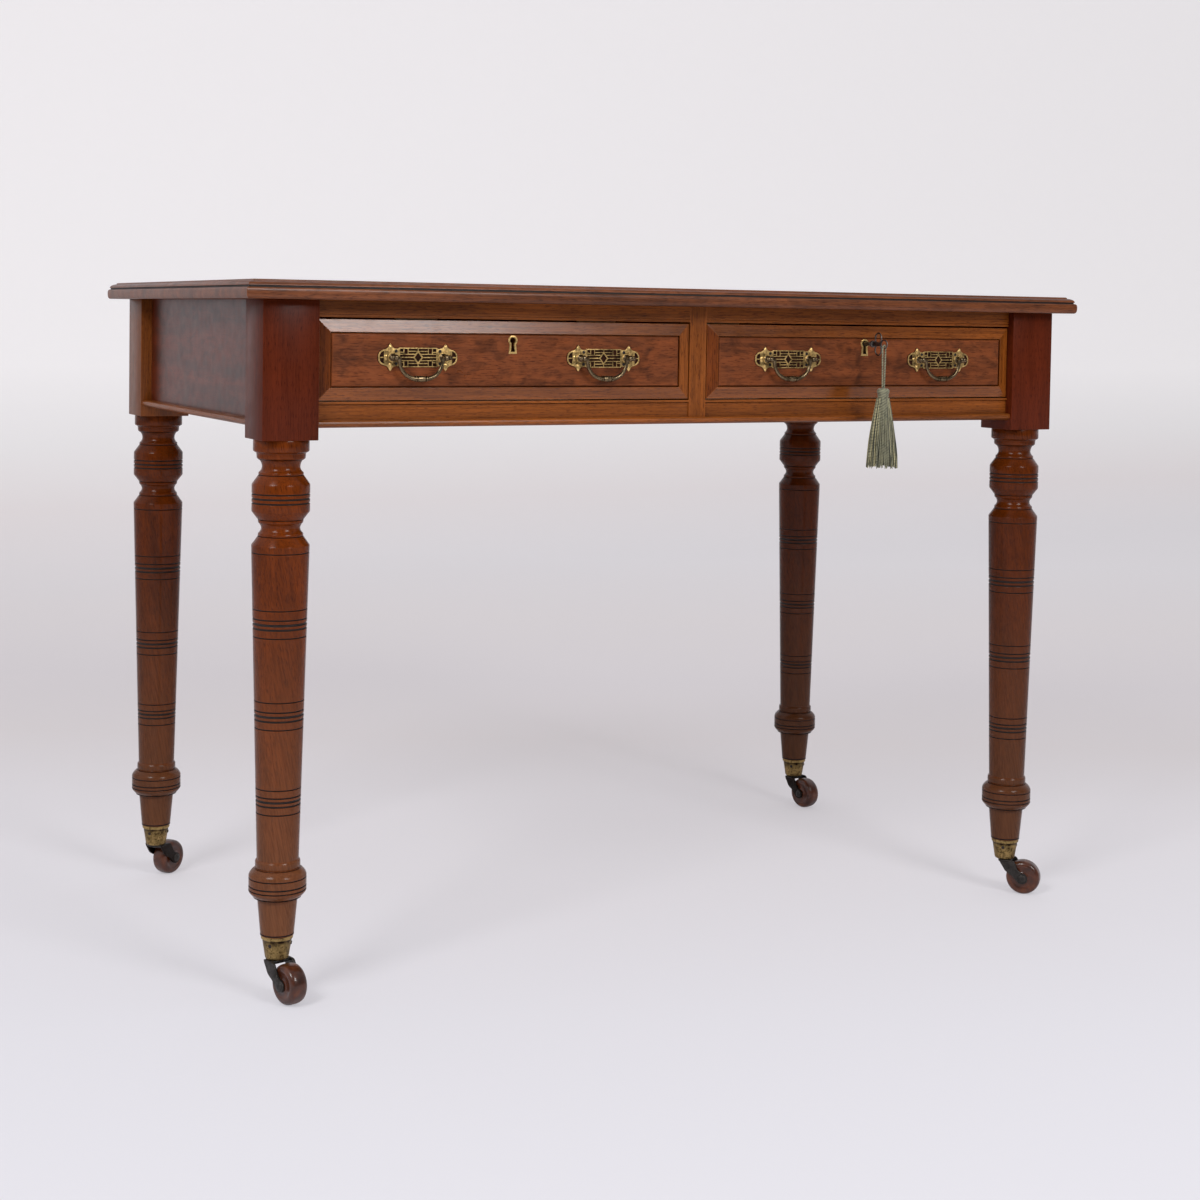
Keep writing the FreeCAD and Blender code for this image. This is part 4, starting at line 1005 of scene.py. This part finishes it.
# Horn arm from the side: how far it trails, and height above the floor
ARM_EDGE = [
    (8.0, 42.5), (12.8, 41.6), (15.4, 38.2), (18.4, 32.0), (22.6, 28.0), (27.6, 26.2), (30.4, 21.6),
    (29.4, 16.4), (24.4, 14.1), (19.4, 15.2), (15.4, 19.4), (11.0, 24.0), (6.0, 27.0), (2.4, 29.8),
    (-0.6, 34.6), (-3.0, 38.2), (-4.2, 41.0), (-3.4, 42.5),
]
# Where each arm starts along the axle, and how thick it is
ARM_STARTS, ARM_THICKNESS = (13.6, -10.6), 3.0
# The crown that joins the arms, its underside and thickness
CROWN_EDGE = [
    (9.6, 6.0), (9.8, 0.0), (9.6, -6.0), (8.0, -11.6), (3.6, -13.4), (-1.0, -13.3), (-4.4, -11.0),
    (-6.8, -6.0), (-7.6, 0.0), (-6.8, 6.0), (-4.4, 11.0), (-1.0, 13.3), (3.6, 13.4), (8.0, 11.6),
]
CROWN_Z, CROWN_THICKNESS = 39.3, 3.4
PINTLE_TURNS = [(42.6, 3.5), (46.3, 3.5), (46.3, 5.6), (48.4, 5.6), (48.8, 5.0)]
AXLE_TURNS = [
    (-15.0, 0.6), (-14.9, 2.4), (-14.5, 4.0), (-14.0, 4.8), (-13.55, 5.0), (-13.5, 3.0),
    (13.5, 3.0), (13.55, 5.0), (14.0, 4.8), (14.5, 4.0), (14.9, 2.4), (15.0, 0.6),
]
# Half of a wheel's section, from the middle of the tread to the bore: half thickness and radius
WHEEL_TURNS = [
    (0.0, 21.0), (2.4, 21.0), (4.6, 20.85), (6.4, 20.4), (7.9, 19.6), (9.0, 18.4), (9.7, 16.9),
    (9.95, 15.2), (9.75, 13.6), (9.35, 12.6), (9.2, 11.0), (9.2, 8.4), (9.5, 7.4), (10.0, 6.8),
    (10.0, 3.2),
]
# How far the axle trails behind the pintle, and its height
TRAIL, AXLE_Z = 24, 21


class DESK_OT_castors(bpy.types.Operator):
    """Makes the castors: cups with screws, cast horns, riveted axles and ceramic wheels."""
    bl_idname = "desk.castors"
    bl_label = "Castors"

    def execute(self, context):
        cups = bmesh.new()
        for corner, (sign_x, sign_y, trail) in CORNERS.items():
            foot = at(sign_x * LEG_X, sign_y * LEG_Y, 0)
            lathe(cups, CUP_TURNS, foot, 56, closed=False)
            for turn in CUP_SCREWS:
                wall = foot @ turned(turn, "Z") @ at(CUP_SCREW_X, 0, CUP_SCREW_Z)
                screw_head(cups, wall @ turned(CUP_SCREW_LEAN, "Y"), 2.0, 1)
            turned_foot = foot @ turned(trail, "Z")
            self.horn(corner, turned_foot)
            self.wheel(corner, turned_foot)
        place_form("screwed_cups", cups, "frame", [mottled_brass(), wax_and_painted_shade()],
                   ["castor_cups"], 40)
        return {"FINISHED"}

    def horn(self, corner, place):
        form = bmesh.new()
        for start in ARM_STARTS:
            cut_plate(form, place @ facing_front(0, start, 0), rounded(ARM_EDGE), [],
                      ARM_THICKNESS, 0.7)
        cut_plate(form, place @ at(0, 0, CROWN_Z), rounded(CROWN_EDGE), [], CROWN_THICKNESS, 0.8)
        lathe(form, PINTLE_TURNS, place, 24)
        lathe(form, AXLE_TURNS, place @ facing_front(TRAIL, 0, AXLE_Z), 28)
        place_form("horn_" + corner, form, "castor_" + corner + "_swivel_body",
                   [horn_metal()], ["castor_fork_" + corner], 40)

    def wheel(self, corner, place):
        form = bmesh.new()
        profile = [(-y, radius) for y, radius in reversed(WHEEL_TURNS[1:])] + WHEEL_TURNS
        lathe(form, profile + profile[:1], place @ facing_front(TRAIL, 0, AXLE_Z), 72, closed=False)
        place_form("glazed_wheel_" + corner, form, "castor_" + corner + "_wheel_body",
                   [glazed_ceramic()], ["castor_wheel_" + corner], 40)


# Middle line of the doubled cord: up from the tassel's head, through the bow, and down again
CORD_ROUTE = [
    (-1.15, 638.2), (-1.5, 655.0), (-1.9, 676.0), (-2.1, 688.8), (2.1, 688.8), (1.9, 676.0),
    (1.5, 655.0), (1.15, 638.2),
]


class DESK_OT_cord(bpy.types.Operator):
    """Hangs the doubled silk cord through the bow of the key."""
    bl_idname = "desk.cord"
    bl_label = "Cord"

    def execute(self, context):
        diameter = context.scene.desk_tassel.cord_diameter
        curve = bpy.data.curves.new("cord_line", "CURVE")
        curve.dimensions = "3D"
        spline = curve.splines.new("NURBS")
        spline.points.add(len(CORD_ROUTE) - 1)
        for point, (x, z) in zip(spline.points, CORD_ROUTE):
            point.co = ((KEY_X + x) * MM, TASSEL_Y * MM, z * MM, 1)
        spline.order_u = 3
        spline.use_endpoint_u = True
        curve.resolution_u = 8
        curve.bevel_depth = diameter / 2
        curve.bevel_resolution = 3
        cord = place_piece("hanging_cord", curve, "tassel_body", [sage_silk()],
                           ["tassel_cord"])
        return {"FINISHED"}


# Bound head of the tassel above its skirt: height and radius
HEAD_TURNS = [
    (638.9, 1.0), (638.8, 3.0), (638.4, 5.2), (637.4, 6.7), (636.0, 7.3), (634.6, 7.4),
    (633.2, 7.0), (632.4, 6.5), (631.6, 6.3), (630.8, 6.6), (630.0, 6.2), (629.2, 6.5),
    (628.4, 6.1), (627.4, 6.5), (626.0, 7.0), (624.0, 7.8),
]
# The skirt's threads: height of their tops and of the lowest tips, and the skirt's radius there
SKIRT_TOP, SKIRT_FOOT = 627.4, 545.6
NECK_RADIUS, HEM_RADIUS = 7.2, 18.0
# Its rings of threads from outside in: share of the radius, and the silks that they draw from; the
# inner ring draws most on the dark olive, as painted shade
SKIRT_RINGS = ((1.0, (0, 0, 1, 2)), (0.84, (0, 1, 2, 0)), (0.64, (1, 1, 0, 1)))
# Radii of a thread at its nine points, in metres
THREAD = [0.45 * MM] + [0.58 * MM] * 7 + [0.42 * MM]


class DESK_OT_tassel(bpy.types.Operator):
    """Makes the tassel: a bound head over a skirt of single threads."""
    bl_idname = "desk.tassel"
    bl_label = "Tassel"

    def execute(self, context):
        threads = context.scene.desk_tassel.threads
        chance = random.Random(7)
        form = bmesh.new()
        place = at(KEY_X, TASSEL_Y, 0)
        lathe(form, HEAD_TURNS, place, 40)
        for layer, (reach, tints) in enumerate(SKIRT_RINGS):
            for i in range(threads):
                angle = 2 * math.pi * (i + chance.random()) / threads
                spread = reach * (0.93 + 0.09 * chance.random())
                foot = SKIRT_FOOT + 4.5 * chance.random() ** 2 + layer
                wave = chance.uniform(-1, 1)
                points = []
                for k in range(len(THREAD)):
                    # A thread bells out under the head, then falls nearly straight in a faint wave
                    share = k / (len(THREAD) - 1)
                    belled = 1 - (1 - share) ** 1.35
                    radius = (NECK_RADIUS * (0.6 + 0.4 * spread)
                              + (HEM_RADIUS * spread - NECK_RADIUS) * belled)
                    radius += 0.35 * math.sin(share * 9 + wave * 6) * share
                    swing = angle + wave * 0.09 * math.sin(share * 4)
                    z = SKIRT_TOP + (foot - SKIRT_TOP) * share
                    spot = Vector((radius * math.cos(swing), radius * math.sin(swing), z)) * MM
                    points.append(place @ spot)
                tube(form, points, THREAD, 5, chance.choice(tints))
        place_form("silk_tassel", form, "tassel_body",
                   [sage_silk(), olive_shade_silk(), straw_highlight_silk()], ["tassel"], 60)
        return {"FINISHED"}


# Floor and backdrop in metres: front and back of the flat part, its half width, the bend, the top
FLOOR_FRONT, FLOOR_BACK, FLOOR_HALF, BEND, WALL_TOP = -6.0, 3.0, 8.0, 1.2, 5.0
# The darker foot of a backdrop close behind the desk is painted shade, laid as a band across the
# floor: where that starts and ends in metres, straight away from the camera, and its shades
BAND_NEAR, BAND_FAR = -0.5, 3.5
WALL_FOOT_PAINTED_SHADE = [
    (0.0, (0.97, 0.985, 1.0)), (0.235, (0.956, 0.950, 0.948)), (0.34, (0.925, 0.900, 0.882)),
    (0.48, (0.912, 0.892, 0.885)), (0.675, (0.960, 0.940, 0.920)), (0.965, (1, 1, 0.99)),
]
# Where the lamps stand and how wide they are, and where both point
KEY_LAMP = ("key_lamp", (-2.8, -1.8, 2.9), 1.2)
FILL_LAMP = ("fill_lamp", (0.62, -3.0, 2.15), 1.0)
LAMP_AIM = Vector((0, 0, 0.4))


class DESK_OT_studio(bpy.types.Operator):
    """Sets the floor, the backdrop, the soft lamps and the camera."""
    bl_idname = "desk.studio"
    bl_label = "Studio"

    def execute(self, context):
        scene = context.scene
        settings = scene.desk_stage
        self.lay_floor(scene, settings)
        self.light(scene, settings)
        self.point_camera(scene)
        scene.view_settings.view_transform = "Standard"
        return {"FINISHED"}

    def lay_floor(self, scene, settings):
        form = bmesh.new()
        sweep = [(FLOOR_FRONT, 0.0), (FLOOR_BACK, 0.0)]
        for i in range(1, 13):
            angle = math.pi / 2 * i / 12
            sweep.append((FLOOR_BACK + math.sin(angle) * BEND, BEND - math.cos(angle) * BEND))
        sweep.append((FLOOR_BACK + BEND, WALL_TOP))
        rows = [[form.verts.new((x, y, z)) for y, z in sweep] for x in (-FLOOR_HALF, FLOOR_HALF)]
        for i in range(len(sweep) - 1):
            form.faces.new((rows[0][i], rows[1][i], rows[1][i + 1], rows[0][i + 1]))
        floor = bpy.data.objects.new("studio_floor", finished_mesh("studio_floor", form, 60))
        scene.collection.objects.link(floor)
        floor.data.materials.append(self.floor_paint(settings))

    def floor_paint(self, settings):
        material, tree, shader = new_material("painted_studio_floor")
        # Matt emulsion on a seamless board: even, pale and without gloss
        place = add(tree, "TexCoord").outputs["Object"]
        cloud = add(tree, "TexNoise", {"Vector": place, "Scale": 3.0, "Detail": 3.0})
        height = add(tree, "SeparateXYZ", {"Vector": place}).outputs["Z"]
        up_wall = add(tree, "Math", {
            "operation": "MULTIPLY_ADD", 0: cloud, 1: 0.02, 2: height})
        # These stops are metres up the backdrop
        paint = add(tree, "ValToRGB", {"Fac": up_wall, "stops": [
            (0.0, settings.floor), (0.15, settings.foot), (0.32, scaled(settings.wall, 0.9)),
            (0.55, settings.wall)]})
        yaw = math.radians(CAMERA_YAW)
        away = add(tree, "Mapping", {"Vector": place, "Rotation": (0, 0, yaw)})
        far = add(tree, "SeparateXYZ", {"Vector": away}).outputs["Y"]
        across = add(tree, "MapRange", {
            "Value": far, "From Min": BAND_NEAR, "From Max": BAND_FAR})
        # Painted shade of that backdrop's foot, laid over the paint
        colour = tinted(tree, paint, across, WALL_FOOT_PAINTED_SHADE)
        set_up(shader, {"Base Color": colour, "Roughness": 0.8})
        # The camera sees half of the paint in its plain colour, which keeps the backdrop even
        path = add(tree, "LightPath").outputs["Is Camera Ray"]
        share = add(tree, "Math", {"operation": "MULTIPLY", 0: path, 1: 0.5})
        plain = add(tree, "Emission", {"Color": colour})
        mixed = add(tree, "MixShader", {0: share, 1: shader, 2: plain})
        set_up(tree.nodes["Material Output"], {"Surface": mixed})
        return material

    def light(self, scene, settings):
        world = bpy.data.worlds.new("studio_light")
        world.use_nodes = True
        tree = world.node_tree
        tree.nodes.clear()
        path = add(tree, "LightPath").outputs
        seen = path["Is Camera Ray"]
        for ray in ("Is Glossy Ray", "Is Transmission Ray"):
            seen = add(tree, "Math", {"operation": "MAXIMUM", 0: seen, 1: path[ray]})
        lit = add(tree, "Background", {
            "Color": (0.98, 0.98, 1.0, 1), "Strength": settings.world_strength})
        # Polish and metal mirror a dim side in front of the desk, and a pale one behind it
        way = add(tree, "TexCoord").outputs["Generated"]
        backward = add(tree, "SeparateXYZ", {"Vector": way}).outputs["Y"]
        bright = add(tree, "MapRange", {
            "Value": backward, "From Min": -0.55, "From Max": 0.1})
        bright = add(tree, "Math", {
            "operation": "MAXIMUM", 0: bright, 1: path["Is Camera Ray"]})
        view = add(tree, "ValToRGB", {
            "Fac": bright, "stops": [(0.0, settings.dim), (1.0, settings.floor)]})
        shown = add(tree, "Background", {"Color": view})
        mixed = add(tree, "MixShader", {0: seen, 1: lit, 2: shown})
        add(tree, "OutputWorld", {"Surface": mixed})
        scene.world = world
        for (name, spot, size), power in (
                (KEY_LAMP, settings.key_power), (FILL_LAMP, settings.fill_power)):
            lamp = bpy.data.lights.new(name, "AREA")
            lamp.shape = "SQUARE"
            lamp.size = size
            lamp.energy = power
            holder = bpy.data.objects.new(name, lamp)
            holder.location = spot
            holder.rotation_euler = (LAMP_AIM - Vector(spot)).to_track_quat("-Z", "Y").to_euler()
            scene.collection.objects.link(holder)

    def point_camera(self, scene):
        lens = bpy.data.cameras.new("studio_camera")
        lens.lens = CAMERA_LENS
        lens.sensor_width = CAMERA_SENSOR
        lens.shift_y = CAMERA_SHIFT
        camera = bpy.data.objects.new("studio_camera", lens)
        camera.matrix_world = (Matrix.Translation(CAMERA_SPOT) @ turned(-CAMERA_YAW, "Z")
                               @ turned(90 - CAMERA_PITCH, "X") @ turned(CAMERA_ROLL, "Z"))
        scene.collection.objects.link(camera)
        scene.camera = camera


class DESK_PT_sidebar(bpy.types.Panel):
    """Lists the desk's pieces and their settings."""
    bl_label = "Writing Desk"
    bl_idname = "DESK_PT_sidebar"
    bl_space_type = "VIEW_3D"
    bl_region_type = "UI"
    bl_category = "Desk"

    def draw(self, context):
        layout = self.layout
        for step in STEPS:
            layout.operator(step.bl_idname)
        for name, group in GROUPS.items():
            box = layout.box()
            for setting in group.__annotations__:
                box.prop(getattr(context.scene, name), setting)


GROUPS = {
    "desk_wood": DeskWoodSettings,
    "desk_turning": DeskTurningSettings,
    "desk_metal": DeskMetalSettings,
    "desk_tassel": DeskTasselSettings,
    "desk_stage": DeskStageSettings,
}
STEPS = (
    DESK_OT_studio, DESK_OT_tassel, DESK_OT_cord, DESK_OT_case, DESK_OT_drawers,
    DESK_OT_handles, DESK_OT_key, DESK_OT_legs, DESK_OT_castors,
)
CLASSES = (*GROUPS.values(), *STEPS, DESK_PT_sidebar)


def register():
    for kind in CLASSES:
        bpy.utils.register_class(kind)
    for name, group in GROUPS.items():
        setattr(bpy.types.Scene, name, PointerProperty(type=group))


def unregister():
    for name in GROUPS:
        delattr(bpy.types.Scene, name)
    for kind in reversed(CLASSES):
        bpy.utils.unregister_class(kind)


def main():
    register()
    for step in STEPS:
        group, name = step.bl_idname.split(".")
        getattr(getattr(bpy.ops, group), name)()


if __name__ == "__main__":
    main()
